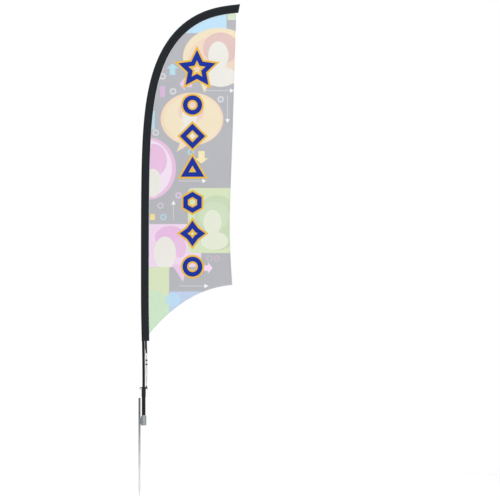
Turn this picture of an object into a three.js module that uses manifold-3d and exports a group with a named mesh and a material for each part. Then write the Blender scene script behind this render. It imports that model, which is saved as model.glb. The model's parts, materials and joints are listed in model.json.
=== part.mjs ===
// Double-sided feather flag on a rotating ground spike.
// Millimetres, +Z up. The origin is the point of the pole axis that stands level with the ground:
// the spike goes down from it, the flag stands above it and flies towards +X.

import * as THREE from 'three';
import { mergeVertices } from 'three/addons/utils/BufferGeometryUtils.js';
import Module from 'manifold-3d';

const wasm = await Module();
wasm.setup();

// ---- driving dimensions ----------------------------------------------------------------------

// clearances
const seat_gap = 0.3;
const ply_gap = 0.1;
const running_gap = 1;

// ground spike
const rod_radius = 6;
const rod_depth = 430;
const rod_above_ground = 165;
const rod_point_length = 42;
const rod_point_radius = 0.8;
const rod_head_chamfer = 1;
const rod_stand_off = 3;
const web_height = 36;
const web_foot = 8;
const web_width = 8;

// bearing housing
const housing_mouth = 8.5;
const housing_floor = 4;
const housing_wall = 3;
const housing_shoulder_width = 2;
const housing_edge = 0.8;
const nut_room = 10;
const dust_cap_height = 5;
const circlip_thickness = 1.5;
const circlip_width = 2;
const circlip_bite = 0.9;
const circlip_opening = 6;

// ball bearings
const bearing_spacing = 16;
const ball_radius = 2.3;
const ball_count = 7;
const ball_circle_radius = 9;
const race_wall = 1.1;
const race_lip = 1.6;
const race_overhang = 0.6;
const cage_half_thickness = 1.2;
const cage_rim = 0.8;
const spacer_wall = 1.7;

// spindle
const journal_end_room = 1;
const flange_lip = 2;
const flange_thickness = 3;
const peg_length = 94;
const peg_chamfer = 2;
const nut_wall = 3.2;
const nut_height = 6;
const washer_land = 2.7;
const washer_thickness = 1;

// base tube, plug and hook collar
const tube_wall = 1.5;
const tube_length = 135;
const plug_wall = 0.9;
const plug_floor = 4;
const plug_height = 40;
const collar_wall = 1.5;
const collar_height = 60;
const collar_overlap = 25;
const collar_edge = 1.2;
const hook_width = 5;
const hook_arm = 4.5;
const hook_thickness = 3.2;
const hook_drop = 11;

// bent pole
const pole_arc_end = 2825;
const tip_lean_degrees = 84.25;
const bend_sharpness = 4.2;
const bow_rise = 10;
const bow_length = 610;
const back_bow = 7;
const pole_wall = 1.5;
const lower_pole_radius = 8;
const pole_step = 1.6;
const lower_joint_arc = 1000;
const upper_joint_arc = 1900;
const spigot_half_length = 50;
const tip_cap_wall = 1;
const tip_cap_grip = 14;

// sleeve and tip reinforcement
const sleeve_cloth = 1;
const sleeve_clearance = 0.7;
const sleeve_foot_arc = 506;
const sleeve_width_foot = 46.5;
const sleeve_width_head = 50.5;
const sleeve_seam = 8;
const sleeve_edge_half = 0.9;
const sleeve_closed_end = 26;
const sleeve_end_slant = 0.3;
const reinforcement_length = 9;
const reinforcement_cloth = 0.8;

// cloth panels
const panel_cloth = 0.4;
const liner_cloth = 0.4;
const hem_rise = 42;
const base_hollow_x = 259;
const base_hollow_z = 822;
const fly_corner_x = 531;
const fly_corner_z = 842;
const fly_waist_x = 517;
const fly_waist_z = 1200;
const fly_shoulder_x = 553;
const fly_shoulder_z = 2390;

// tensioning tab, ring and elastic
const ring_wire_radius = 1.5;
const ring_half_width = 7;
const ring_half_height = 8.5;
const ring_corner = 2;
const ring_drop = 80;
const ring_stand_off = 0.8;
const tab_thickness = 1.6;
const tab_insert = 24;
const elastic_radius = 2;
const grip_wall = 1;
const grip_rise = 8;
const crimp_wall = 1;
const crimp_height = 8;
const crimp_web = 1;
const upper_crimp_drop = 36;
const lower_crimp_drop = 60;

// facets
const bearing_facets = 24;
const turned_facets = 24;
const pole_facets = 12;
const cord_facets = 8;

// ---- materials -------------------------------------------------------------------------------

function material(color, roughness, metalness) {
  return new THREE.MeshStandardMaterial({ color, roughness, metalness });
}

const galvanised_steel = material(0x8f979a, 0.5, 0.9);
const bright_steel = material(0xb9bdc0, 0.25, 1);
const bearing_steel = material(0xc4c6c8, 0.15, 1);
const black_aluminium = material(0x1d1e22, 0.4, 0.6);
const black_fibreglass = material(0x17181a, 0.45, 0);
const black_plastic = material(0x222326, 0.5, 0);
const black_rubber = material(0x1a1a1b, 0.8, 0);
const brass = material(0xb89b5a, 0.35, 1);
const sleeve_fabric = material(0x2c3036, 0.9, 0);
const webbing_fabric = material(0x151617, 0.9, 0);
const printed_cloth = material(0xbabbc0, 0.85, 0);
const liner_fabric = material(0x3b3c40, 0.9, 0);
const white_plastic = material(0xe9e9ea, 0.4, 0);
const white_elastic = material(0xd8d9da, 0.75, 0);

// ---- sizes that follow from the driving dimensions ---------------------------------------------

// bearings, housing and journal
const ball_room = ball_radius + seat_gap;
const cage_half_height = ball_room + cage_rim;
const bearing_width = 2 * (cage_half_height + race_overhang);
const inner_race_bore = ball_circle_radius - ball_room - race_wall;
const outer_race_radius = ball_circle_radius + ball_room + race_wall;
const journal_radius = inner_race_bore - seat_gap;
const spindle_shoulder_radius = inner_race_bore + spacer_wall;
const bore = outer_race_radius + seat_gap;
const housing_radius = bore + housing_wall;

// heights up the bearing stack
const shoulder_z = housing_floor + nut_room;
const lower_bearing_z = shoulder_z + bearing_width / 2;
const spacer_z = shoulder_z + bearing_width;
const upper_bearing_z = spacer_z + bearing_spacing + bearing_width / 2;
const stack_top = upper_bearing_z + bearing_width / 2;
const circlip_top = stack_top + circlip_thickness;
const housing_top = circlip_top + housing_mouth;
const flange_bottom = housing_top + running_gap;
const flange_top = flange_bottom + flange_thickness;
const peg_top = flange_top + peg_length;

// pole foot, plug, base tube and hook collar
const middle_pole_radius = lower_pole_radius - pole_step;
const top_pole_radius = middle_pole_radius - pole_step;
const pole_room = lower_pole_radius + seat_gap;
const plug_radius = pole_room + plug_wall;
const tube_bore = plug_radius + seat_gap;
const tube_radius = tube_bore + tube_wall;
const peg_radius = tube_bore - seat_gap;
const tube_top = flange_top + tube_length;
const plug_bottom = tube_top - plug_height;
const pole_foot = plug_bottom + plug_floor;
const collar_radius = tube_radius + seat_gap + collar_wall;
const collar_bottom = tube_top - collar_overlap;
const collar_top = collar_bottom + collar_height;

// arc lengths up the pole
const bow_start = collar_top + bow_rise;
const bow_end = bow_start + bow_length;
const hem_arc = sleeve_foot_arc + hem_rise;
const tab_top_arc = sleeve_foot_arc + tab_insert;
const ring_arc = sleeve_foot_arc - ring_drop;
const upper_crimp_arc = ring_arc - upper_crimp_drop;
const lower_crimp_arc = ring_arc - lower_crimp_drop;
const grip_top_arc = collar_top + grip_rise;

// ---- solids ----------------------------------------------------------------------------------

const radians = THREE.MathUtils.degToRad;
const lerp = THREE.MathUtils.lerp;
const smoothstep = THREE.MathUtils.smoothstep;

function signedVolume(position, triangles) {
  const a = new THREE.Vector3();
  const b = new THREE.Vector3();
  const c = new THREE.Vector3();
  let sum = 0;
  for (let i = 0; i < triangles.length; i += 3) {
    a.fromBufferAttribute(position, triangles[i]);
    b.fromBufferAttribute(position, triangles[i + 1]);
    c.fromBufferAttribute(position, triangles[i + 2]);
    sum += a.dot(b.cross(c)) / 6;
  }
  return sum;
}

// Welds a three.js geometry into a closed solid whose faces point outwards.
function toSolid(geometry) {
  const bare = new THREE.BufferGeometry();
  bare.setAttribute('position', geometry.getAttribute('position'));
  bare.setIndex(geometry.getIndex());
  const welded = mergeVertices(bare, 1e-4);
  const all = welded.getIndex().array;
  const kept = [];
  for (let i = 0; i < all.length; i += 3) {
    const [a, b, c] = [all[i], all[i + 1], all[i + 2]];
    if (a !== b && b !== c && c !== a) {
      kept.push(a, b, c);
    }
  }
  const position = welded.getAttribute('position');
  if (signedVolume(position, kept) < 0) {
    kept.reverse();
  }
  const mesh = new wasm.Mesh({
    numProp: 3,
    vertProperties: new Float32Array(position.array),
    triVerts: new Uint32Array(kept),
  });
  return new wasm.Manifold(mesh);
}

function toGeometry(solid) {
  const mesh = solid.getMesh();
  const geometry = new THREE.BufferGeometry();
  geometry.setAttribute('position', new THREE.BufferAttribute(mesh.vertProperties, 3));
  geometry.setIndex(new THREE.BufferAttribute(mesh.triVerts, 1));
  geometry.computeVertexNormals();
  return geometry;
}

// Turns a profile of [radius, height] points about the Z axis.
function turned(profile, facets) {
  const points = profile.map(([r, z]) => new THREE.Vector2(r, z));
  const geometry = new THREE.LatheGeometry(points, facets);
  geometry.rotateX(Math.PI / 2);
  return geometry;
}

function closedProfile(profile) {
  return [...profile, profile[0]];
}

function ring(inner, outer, bottom, top, facets) {
  const profile = [[inner, bottom], [outer, bottom], [outer, top], [inner, top]];
  return turned(closedProfile(profile), facets);
}

function block(x0, x1, y0, y1, z0, z1) {
  const geometry = new THREE.BoxGeometry(x1 - x0, y1 - y0, z1 - z0);
  geometry.translate((x0 + x1) / 2, (y0 + y1) / 2, (z0 + z1) / 2);
  return geometry;
}

// Stretches a flat shape into a solid of the given depth. The shape's x and y axes and the depth
// go to the three given axes of the part.
function slab(shape, depth, toX, toY, toDepth) {
  const geometry = new THREE.ExtrudeGeometry(shape, { depth, bevelEnabled: false, curveSegments: 6 });
  geometry.applyMatrix4(new THREE.Matrix4().makeBasis(toX, toY, toDepth));
  return geometry;
}

const axisX = new THREE.Vector3(1, 0, 0);
const axisY = new THREE.Vector3(0, 1, 0);
const axisZ = new THREE.Vector3(0, 0, 1);

// Joins rings of points with the same number of points into a closed skin. An open skin is capped
// by fans about the first point of its end rings; a looped one joins its last ring to its first.
function skin(rings, looped) {
  const count = rings[0].length;
  const position = [];
  for (const points of rings) {
    for (const point of points) {
      position.push(point.x, point.y, point.z);
    }
  }
  const index = [];
  const spans = looped ? rings.length : rings.length - 1;
  for (let i = 0; i < spans; i += 1) {
    const here = i * count;
    const next = ((i + 1) % rings.length) * count;
    for (let j = 0; j < count; j += 1) {
      const k = (j + 1) % count;
      index.push(here + j, here + k, next + k);
      index.push(here + j, next + k, next + j);
    }
  }
  if (!looped) {
    const last = (rings.length - 1) * count;
    for (let j = 1; j < count - 1; j += 1) {
      index.push(0, j + 1, j);
      index.push(last, last + j, last + j + 1);
    }
  }
  const geometry = new THREE.BufferGeometry();
  geometry.setAttribute('position', new THREE.Float32BufferAttribute(position, 3));
  geometry.setIndex(index);
  return geometry;
}

// A round section carried along a line of points. The section's first facet faces the up vector,
// which is never parallel to the line.
function sweep(points, up, radius, facets, looped) {
  const rings = points.map((point, i) => {
    const before = points[looped ? (i + points.length - 1) % points.length : Math.max(i - 1, 0)];
    const after = points[looped ? (i + 1) % points.length : Math.min(i + 1, points.length - 1)];
    const ahead = after.clone().sub(before).normalize();
    const first = up.clone().addScaledVector(ahead, -up.dot(ahead)).normalize();
    const second = new THREE.Vector3().crossVectors(ahead, first);
    const section = [];
    for (let j = 0; j < facets; j += 1) {
      const angle = (2 * Math.PI * j) / facets;
      const spot = point.clone();
      spot.addScaledVector(first, radius * Math.cos(angle));
      spot.addScaledVector(second, radius * Math.sin(angle));
      section.push(spot);
    }
    return section;
  });
  return skin(rings, looped);
}

// ---- the bent pole axis ----------------------------------------------------------------------

// The pole leaves the hook collar upright, is bowed slightly back by the pull of the cloth, and
// bends over to the fly side near its tip. Its lean from upright depends on the arc length that
// has been climbed since the ground line.
const bow_lean = (2 * back_bow) / (bow_end - bow_start);

function lean(arc) {
  const climbed = Math.min(arc / pole_arc_end, 1);
  const bent = Math.sin((Math.PI / 2) * climbed ** bend_sharpness) ** 2;
  const along = THREE.MathUtils.clamp((arc - bow_start) / (bow_end - bow_start), 0, 1);
  return radians(tip_lean_degrees) * bent - bow_lean * Math.sin(Math.PI * along) ** 2;
}

// Stations along the axis: far apart where the pole is straight and close where it bends.
function evenly(from, to, count) {
  return Array.from({ length: count }, (_, i) => lerp(from, to, i / count));
}

const bend_start = 0.46 * pole_arc_end;
const station_arcs = [
  0,
  ...evenly(bow_start, bow_end, 8),
  ...evenly(bow_end, bend_start, 3),
  ...evenly(bend_start, pole_arc_end, 34),
  pole_arc_end,
];

function climb(from, to, start) {
  const steps = 40;
  const step = (to - from) / steps;
  const spot = { x: start.x, z: start.z };
  for (let i = 0; i < steps; i += 1) {
    const angle = lean(from + (i + 0.5) * step);
    spot.x += Math.sin(angle) * step;
    spot.z += Math.cos(angle) * step;
  }
  return spot;
}

const stations = [{ arc: 0, x: 0, z: 0, angle: 0 }];
for (let i = 1; i < station_arcs.length; i += 1) {
  const before = stations[i - 1];
  const spot = climb(before.arc, station_arcs[i], before);
  stations.push({ arc: station_arcs[i], x: spot.x, z: spot.z, angle: lean(station_arcs[i]) });
}

// Takes a place given as distance towards the fly side of the axis, y, and arc length, to the part.
// Between two stations the axis is straight, so that pieces on it keep their clearances.
function place(across, y, arc) {
  let i = 1;
  while (i < stations.length - 1 && stations[i].arc < arc) {
    i += 1;
  }
  const a = stations[i - 1];
  const b = stations[i];
  const t = (arc - a.arc) / (b.arc - a.arc);
  const x = lerp(a.x, b.x, t) + across * lerp(Math.cos(a.angle), Math.cos(b.angle), t);
  const z = lerp(a.z, b.z, t) - across * lerp(Math.sin(a.angle), Math.sin(b.angle), t);
  return new THREE.Vector3(x, y, z);
}

// Carries a geometry that was made about a straight upright axis to the bent axis.
function bend(geometry) {
  const position = geometry.getAttribute('position');
  for (let i = 0; i < position.count; i += 1) {
    const spot = place(position.getX(i), position.getY(i), position.getZ(i));
    position.setXYZ(i, spot.x, spot.y, spot.z);
  }
  return geometry;
}

function arcsBetween(from, to) {
  const inside = station_arcs.filter((arc) => arc > from + 2 && arc < to - 2);
  return [from, ...inside, to];
}

// A pipe about the bent axis, or a solid rod where the inner radius is zero.
function pipe(inner, outer, from, to) {
  const up = arcsBetween(from, to).map((arc) => [outer, arc]);
  const down = arcsBetween(from, to).map((arc) => [inner, arc]).reverse();
  const profile = inner > 0 ? closedProfile([...up, ...down]) : [[0, from], ...up, [0, to]];
  return bend(turned(profile, pole_facets));
}

// ---- the flag group --------------------------------------------------------------------------

const flag = new THREE.Group();
flag.name = 'feather_flag';

function add(name, solid, look) {
  const mesh = new THREE.Mesh(toGeometry(solid), look);
  mesh.name = name;
  flag.add(mesh);
}

// ---- ground spike ----------------------------------------------------------------------------

const rod_x = -(housing_radius + rod_stand_off + rod_radius);

const rod_profile = [
  [0, -rod_depth],
  [rod_point_radius, -rod_depth],
  [rod_radius, -rod_depth + rod_point_length],
  [rod_radius, rod_above_ground - rod_head_chamfer],
  [rod_radius - rod_head_chamfer, rod_above_ground],
  [0, rod_above_ground],
];
const rod = turned(rod_profile, turned_facets);
rod.translate(rod_x, 0, 0);
add('spike_rod', toSolid(rod), galvanised_steel);

// The web fills the slot between the rod and the housing and follows both round faces.
const web_top = web_foot + web_height;
const rod_room = ring(0, rod_radius + seat_gap, web_foot - 1, web_top + 1, turned_facets);
rod_room.translate(rod_x, 0, 0);
const housing_room = ring(0, housing_radius + seat_gap, web_foot - 1, web_top + 1, bearing_facets);
const web = toSolid(block(rod_x, -housing_radius / 2, -web_width / 2, web_width / 2, web_foot, web_top))
  .subtract(toSolid(rod_room))
  .subtract(toSolid(housing_room));
add('weld_web', web, galvanised_steel);

// ---- bearing housing -------------------------------------------------------------------------

const groove_radius = bore + circlip_bite;
const housing_profile = [
  [0, 0],
  [housing_radius - housing_edge, 0],
  [housing_radius, housing_edge],
  [housing_radius, housing_top - housing_edge],
  [housing_radius - housing_edge, housing_top],
  [bore, housing_top],
  [bore, circlip_top + seat_gap],
  [groove_radius, circlip_top + seat_gap],
  [groove_radius, stack_top],
  [bore, stack_top],
  [bore, shoulder_z],
  [bore - housing_shoulder_width, shoulder_z],
  [bore - housing_shoulder_width, housing_floor],
  [0, housing_floor],
];
add('bearing_housing', toSolid(turned(housing_profile, bearing_facets)), galvanised_steel);

const circlip_outer = groove_radius - seat_gap;
const circlip_ring = toSolid(
  ring(circlip_outer - circlip_width, circlip_outer, stack_top, circlip_top, bearing_facets),
);
const circlip_slot = toSolid(
  block(0, housing_radius, -circlip_opening / 2, circlip_opening / 2, stack_top - 1, circlip_top + 1),
);
add('circlip', circlip_ring.subtract(circlip_slot), bright_steel);

const dust_cap_bore = spindle_shoulder_radius + seat_gap;
const dust_cap = ring(
  dust_cap_bore,
  bore - seat_gap,
  housing_top - dust_cap_height,
  housing_top,
  bearing_facets,
);
add('dust_cap', toSolid(dust_cap), black_rubber);

// ---- ball bearings ---------------------------------------------------------------------------

// The side of a race that faces the balls, from bottom to top, with the ball groove in its middle.
// The side is -1 for the inner race and 1 for the outer race.
function raceway(z, side) {
  const land = ball_circle_radius + side * race_lip;
  const reach = Math.acos(race_lip / ball_room);
  const points = [[land, z - bearing_width / 2]];
  for (let i = 0; i <= 5; i += 1) {
    const angle = lerp(-reach, reach, i / 5);
    const r = ball_circle_radius + side * ball_room * Math.cos(angle);
    points.push([r, z + ball_room * Math.sin(angle)]);
  }
  points.push([land, z + bearing_width / 2]);
  return points;
}

function race(z, side, far_radius) {
  const bottom = [far_radius, z - bearing_width / 2];
  const top = [far_radius, z + bearing_width / 2];
  return turned(closedProfile([bottom, ...raceway(z, side), top]), bearing_facets);
}

for (const [level, z] of [['lower', lower_bearing_z], ['upper', upper_bearing_z]]) {
  add(`outer_race_${level}`, toSolid(race(z, 1, outer_race_radius)), bearing_steel);
  add(`inner_race_${level}`, toSolid(race(z, -1, inner_race_bore)), bearing_steel);
  let cage = toSolid(
    ring(
      ball_circle_radius - cage_half_thickness,
      ball_circle_radius + cage_half_thickness,
      z - cage_half_height,
      z + cage_half_height,
      bearing_facets,
    ),
  );
  for (let i = 0; i < ball_count; i += 1) {
    const angle = (2 * Math.PI * i) / ball_count;
    const x = ball_circle_radius * Math.cos(angle);
    const y = ball_circle_radius * Math.sin(angle);
    const ball = new THREE.IcosahedronGeometry(ball_radius, 1);
    ball.translate(x, y, z);
    add(`ball_${level}_${i + 1}`, toSolid(ball), bearing_steel);
    const pocket = new THREE.CylinderGeometry(ball_room, ball_room, 2 * race_lip, 8);
    pocket.rotateZ(Math.PI / 2);
    pocket.translate(ball_circle_radius, 0, z);
    pocket.rotateZ(angle);
    cage = cage.subtract(toSolid(pocket));
  }
  add(`ball_cage_${level}`, cage, brass);
}

const outer_spacer = ring(
  outer_race_radius - spacer_wall,
  outer_race_radius,
  spacer_z,
  spacer_z + bearing_spacing,
  bearing_facets,
);
add('outer_spacer', toSolid(outer_spacer), galvanised_steel);

const inner_spacer = ring(
  inner_race_bore,
  inner_race_bore + spacer_wall,
  spacer_z,
  spacer_z + bearing_spacing,
  bearing_facets,
);
add('inner_spacer', toSolid(inner_spacer), galvanised_steel);

// ---- spindle ---------------------------------------------------------------------------------

const flange_radius = tube_radius + flange_lip;
const spindle_profile = [
  [0, housing_floor + journal_end_room],
  [journal_radius, housing_floor + journal_end_room],
  [journal_radius, stack_top],
  [spindle_shoulder_radius, stack_top],
  [spindle_shoulder_radius, flange_bottom],
  [flange_radius, flange_bottom],
  [flange_radius, flange_top],
  [peg_radius, flange_top],
  [peg_radius, peg_top - peg_chamfer],
  [peg_radius - peg_chamfer, peg_top],
  [0, peg_top],
];
add('spindle', toSolid(turned(spindle_profile, bearing_facets)), bright_steel);

const washer_z = shoulder_z - washer_thickness;
const washer_radius = inner_race_bore + washer_land;
const washer = ring(inner_race_bore, washer_radius, washer_z, shoulder_z, bearing_facets);
add('thrust_washer', toSolid(washer), bright_steel);

const nut_corner_radius = (inner_race_bore + nut_wall) / Math.cos(Math.PI / 6);
const nut_blank = new THREE.CylinderGeometry(nut_corner_radius, nut_corner_radius, nut_height, 6);
nut_blank.rotateX(Math.PI / 2);
nut_blank.translate(0, 0, washer_z - nut_height / 2);
const nut_bore = ring(0, inner_race_bore, washer_z - nut_height - 1, washer_z + 1, bearing_facets);
add('lock_nut', toSolid(nut_blank).subtract(toSolid(nut_bore)), bright_steel);

// ---- base tube, plug and hook collar ---------------------------------------------------------

const base_tube = ring(tube_bore, tube_radius, flange_top, tube_top, turned_facets);
add('base_tube', toSolid(base_tube), black_aluminium);

// The plug carries the foot of the pole in the tube, just above the peg.
const plug_profile = [
  [0, plug_bottom],
  [plug_radius, plug_bottom],
  [plug_radius, tube_top],
  [pole_room, tube_top],
  [pole_room, pole_foot],
  [0, pole_foot],
];
add('pole_plug', toSolid(turned(plug_profile, turned_facets)), black_plastic);

const collar_profile = [
  [tube_radius + seat_gap, collar_bottom],
  [collar_radius - collar_edge, collar_bottom],
  [collar_radius, collar_bottom + collar_edge],
  [collar_radius, collar_top - collar_edge],
  [collar_radius - collar_edge, collar_top],
  [pole_room, collar_top],
  [pole_room, tube_top],
  [tube_radius + seat_gap, tube_top],
];

// The elastic runs under the arm of a hook in a tubular grip, so the mouth of the hook is as wide
// as the grip with a clearance on each side.
const grip_radius = elastic_radius + seat_gap + grip_wall;
const grip_room = grip_radius + seat_gap;
const hook_mouth_x = collar_radius + grip_room;
const hook_under_z = collar_top - hook_arm;
const grip_run_z = hook_under_z - grip_room;
const hook_outer_x = hook_mouth_x + grip_room + hook_thickness;
const hook_bend = grip_room + hook_thickness;
const hook_tip_z = hook_under_z - hook_drop;
const hook_tip_radius = hook_thickness / 2;

const hook_outline = new THREE.Shape();
hook_outline.moveTo(collar_radius - collar_wall, collar_top);
hook_outline.lineTo(hook_outer_x - hook_bend, collar_top);
hook_outline.absarc(hook_outer_x - hook_bend, collar_top - hook_bend, hook_bend, Math.PI / 2, 0, true);
hook_outline.lineTo(hook_outer_x, hook_tip_z + hook_tip_radius);
hook_outline.absarc(
  hook_outer_x - hook_tip_radius,
  hook_tip_z + hook_tip_radius,
  hook_tip_radius,
  0,
  -Math.PI,
  true,
);
hook_outline.lineTo(hook_mouth_x + grip_room, grip_run_z);
hook_outline.absarc(hook_mouth_x, grip_run_z, grip_room, 0, Math.PI / 2, false);
hook_outline.lineTo(collar_radius - collar_wall, hook_under_z);

const hook = slab(hook_outline, hook_width, axisX, axisZ, axisY.clone().negate());
hook.translate(0, hook_width / 2, 0);
const opposite_hook = hook.clone().rotateZ(Math.PI);
const hook_collar = toSolid(turned(closedProfile(collar_profile), turned_facets))
  .add(toSolid(hook))
  .add(toSolid(opposite_hook));
add('hook_collar', hook_collar, black_plastic);

// ---- pole sections ---------------------------------------------------------------------------

const pole_end = pole_arc_end - sleeve_closed_end - seat_gap;
const sections = [
  ['lower_pole', lower_pole_radius, pole_foot, lower_joint_arc],
  ['middle_pole', middle_pole_radius, lower_joint_arc, upper_joint_arc],
  ['top_pole', top_pole_radius, upper_joint_arc, pole_end - tip_cap_wall],
];
for (const [name, radius, from, to] of sections) {
  add(name, toSolid(pipe(radius - pole_wall, radius, from, to)), black_fibreglass);
}

// A stepped spigot joins each pair of sections from the inside.
const joints = [
  ['lower_spigot', lower_joint_arc, lower_pole_radius, middle_pole_radius],
  ['upper_spigot', upper_joint_arc, middle_pole_radius, top_pole_radius],
];
for (const [name, arc, wide, narrow] of joints) {
  const wide_end = pipe(0, wide - pole_wall - seat_gap, arc - spigot_half_length, arc - seat_gap);
  const narrow_radius = narrow - pole_wall - seat_gap;
  const narrow_end = pipe(0, narrow_radius, arc - spigot_half_length, arc + spigot_half_length);
  add(name, toSolid(wide_end).add(toSolid(narrow_end)), bright_steel);
}

const cap_foot = pole_end - tip_cap_wall - tip_cap_grip;
const cap_bore = top_pole_radius + seat_gap;
const cap_skin = toSolid(pipe(0, cap_bore + tip_cap_wall, cap_foot, pole_end));
const cap_hollow = toSolid(pipe(0, cap_bore, cap_foot - 5, pole_end - tip_cap_wall));
add('tip_cap', cap_skin.subtract(cap_hollow), black_rubber);

// ---- tensioning ring and webbing tab ---------------------------------------------------------

const ring_across = lower_pole_radius + ring_stand_off + ring_half_width + ring_wire_radius;
const ring_low_arc = ring_arc - ring_half_height;
const ring_high_arc = ring_arc + ring_half_height;

const ring_line = [];
const corners = [[1, 1], [-1, 1], [-1, -1], [1, -1]];
for (const [i, [across, along]] of corners.entries()) {
  for (let j = 0; j <= 4; j += 1) {
    const angle = (Math.PI / 2) * (i + j / 4);
    const x = ring_across + across * (ring_half_width - ring_corner) + ring_corner * Math.cos(angle);
    const z = ring_arc + along * (ring_half_height - ring_corner) + ring_corner * Math.sin(angle);
    ring_line.push(place(x, 0, z));
  }
}
const tension_ring = sweep(ring_line, axisY, ring_wire_radius, cord_facets, true);
add('tension_ring', toSolid(tension_ring), white_plastic);

// The tab is one length of webbing, folded under the top bar of the ring, with both ends inside
// the foot of the sleeve.
const fold_radius = ring_wire_radius + seat_gap;
const tab_half = fold_radius + tab_thickness;
const tab_half_width = ring_half_width - ring_corner;
const tab_outline = new THREE.Shape();
tab_outline.moveTo(-tab_half, tab_top_arc);
tab_outline.lineTo(-tab_half, ring_high_arc);
tab_outline.absarc(0, ring_high_arc, tab_half, Math.PI, 2 * Math.PI, false);
tab_outline.lineTo(tab_half, tab_top_arc);
tab_outline.lineTo(fold_radius, tab_top_arc);
tab_outline.lineTo(fold_radius, ring_high_arc);
tab_outline.absarc(0, ring_high_arc, fold_radius, 2 * Math.PI, Math.PI, true);
tab_outline.lineTo(-fold_radius, tab_top_arc);
const tab = slab(tab_outline, 2 * tab_half_width, axisY, axisZ, axisX);
tab.translate(ring_across - tab_half_width, 0, 0);
add('webbing_tab', toSolid(bend(tab)), webbing_fabric);

// ---- elastic loop, grip and crimps -----------------------------------------------------------

// The elastic is an endless loop. It lies over the low bar of the ring, passes two crimps with its
// strands side by side, and turns by a quarter on the way down to the arm of the hook.
const strand_half = elastic_radius + seat_gap + crimp_web / 2;
const over_ring = ring_wire_radius + seat_gap + elastic_radius;
const under_hook = hook_width / 2 + grip_room;
const crimped_from = lower_crimp_arc - crimp_height / 2 - 2;
const crimped_to = upper_crimp_arc + crimp_height / 2 + 2;

function strandSpot(arc, side) {
  const lower = smoothstep(arc, grip_top_arc + 2, crimped_from);
  const upper = smoothstep(arc, crimped_to, ring_low_arc);
  const across = lerp(hook_mouth_x, ring_across, lower);
  const below = lerp(under_hook, strand_half, lower);
  const above = lerp(strand_half, over_ring, upper);
  const reach = arc < crimped_to ? below : above;
  const angle = (Math.PI / 2) * (1 - lower + upper);
  return place(across + side * reach * Math.cos(angle), side * reach * Math.sin(angle), arc);
}

// Half of the run under the hook arm, from its middle to the straight strand of one side.
function hookRun(side) {
  const spots = [place(hook_mouth_x, 0, grip_run_z)];
  for (let i = 0; i <= 4; i += 1) {
    const angle = (Math.PI / 2) * (i / 4);
    const y = hook_width / 2 + grip_room * Math.sin(angle);
    spots.push(place(hook_mouth_x, side * y, hook_under_z - grip_room * Math.cos(angle)));
  }
  return spots;
}

function strand(side) {
  const arcs = [
    grip_top_arc - 2,
    ...evenly(grip_top_arc + 2, crimped_from, 9),
    crimped_from,
    crimped_to,
    ...evenly(crimped_to, ring_low_arc, 4).slice(1),
  ];
  return arcs.map((arc) => strandSpot(arc, side));
}

function ringRun() {
  const spots = [];
  for (let i = 0; i <= 6; i += 1) {
    const angle = Math.PI * (i / 6);
    const y = over_ring * Math.cos(angle);
    spots.push(place(ring_across, y, ring_low_arc + over_ring * Math.sin(angle)));
  }
  return spots;
}

const elastic_line = [
  ...hookRun(1),
  ...strand(1),
  ...ringRun(),
  ...strand(-1).reverse(),
  ...hookRun(-1).slice(1).reverse(),
];
const elastic = sweep(elastic_line, axisX, elastic_radius, cord_facets, true);
add('elastic_loop', toSolid(elastic), white_elastic);

const grip_line = [
  place(hook_mouth_x, -under_hook, grip_top_arc),
  ...hookRun(-1).slice(1).reverse(),
  ...hookRun(1),
  place(hook_mouth_x, under_hook, grip_top_arc),
];
const hollow_line = grip_line.map((spot) => spot.clone());
hollow_line[0].z += 1;
hollow_line[hollow_line.length - 1].z += 1;
const grip_skin = toSolid(sweep(grip_line, axisX, grip_radius, cord_facets, false));
const grip_hollow = toSolid(
  sweep(hollow_line, axisX, elastic_radius + seat_gap, cord_facets, false),
);
add('cord_grip', grip_skin.subtract(grip_hollow), black_rubber);

const crimp_bore = elastic_radius + seat_gap;
for (const [name, arc] of [['crimp_upper', upper_crimp_arc], ['crimp_lower', lower_crimp_arc]]) {
  const outline = new THREE.Shape();
  outline.absarc(ring_across + strand_half, 0, crimp_bore + crimp_wall, -Math.PI / 2, Math.PI / 2);
  outline.absarc(ring_across - strand_half, 0, crimp_bore + crimp_wall, Math.PI / 2, 1.5 * Math.PI);
  for (const side of [-1, 1]) {
    const hole = new THREE.Path();
    hole.absarc(ring_across + side * strand_half, 0, crimp_bore, 0, 2 * Math.PI);
    outline.holes.push(hole);
  }
  const crimp = slab(outline, crimp_height, axisX, axisY, axisZ);
  crimp.translate(0, 0, arc - crimp_height / 2);
  add(name, toSolid(bend(crimp)), black_rubber);
}

// ---- sleeve ----------------------------------------------------------------------------------

const pocket_radius = lower_pole_radius + sleeve_clearance;
const sleeve_lead = pocket_radius + sleeve_cloth;
const tab_shoulder = ring_across + tab_half_width;

function sleeveTrail(arc) {
  const t = (arc - sleeve_foot_arc) / (pole_arc_end - sleeve_foot_arc);
  return lerp(sleeve_width_foot, sleeve_width_head, t) - sleeve_lead;
}

// The section wraps the pole at the front, stays clear of the tab, and closes at the seam. It
// starts at its foremost point and goes round once.
function sleeveSection(radius, shoulder, trail, trail_half) {
  const front = [];
  for (let i = 0; i <= 4; i += 1) {
    const angle = radians(180 + 25 * i);
    front.push([radius * Math.cos(angle), radius * Math.sin(angle)]);
  }
  const near = [...front, [tab_shoulder, -shoulder], [trail, -trail_half]];
  const far = near.slice(1).map(([across, y]) => [across, -y]).reverse();
  return [...near, ...far];
}

function coverSection(grow) {
  const shoulder = tab_half + seat_gap + sleeve_cloth + grow;
  return (arc) =>
    sleeveSection(sleeve_lead + grow, shoulder, sleeveTrail(arc) + grow, sleeve_edge_half + grow);
}

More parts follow.
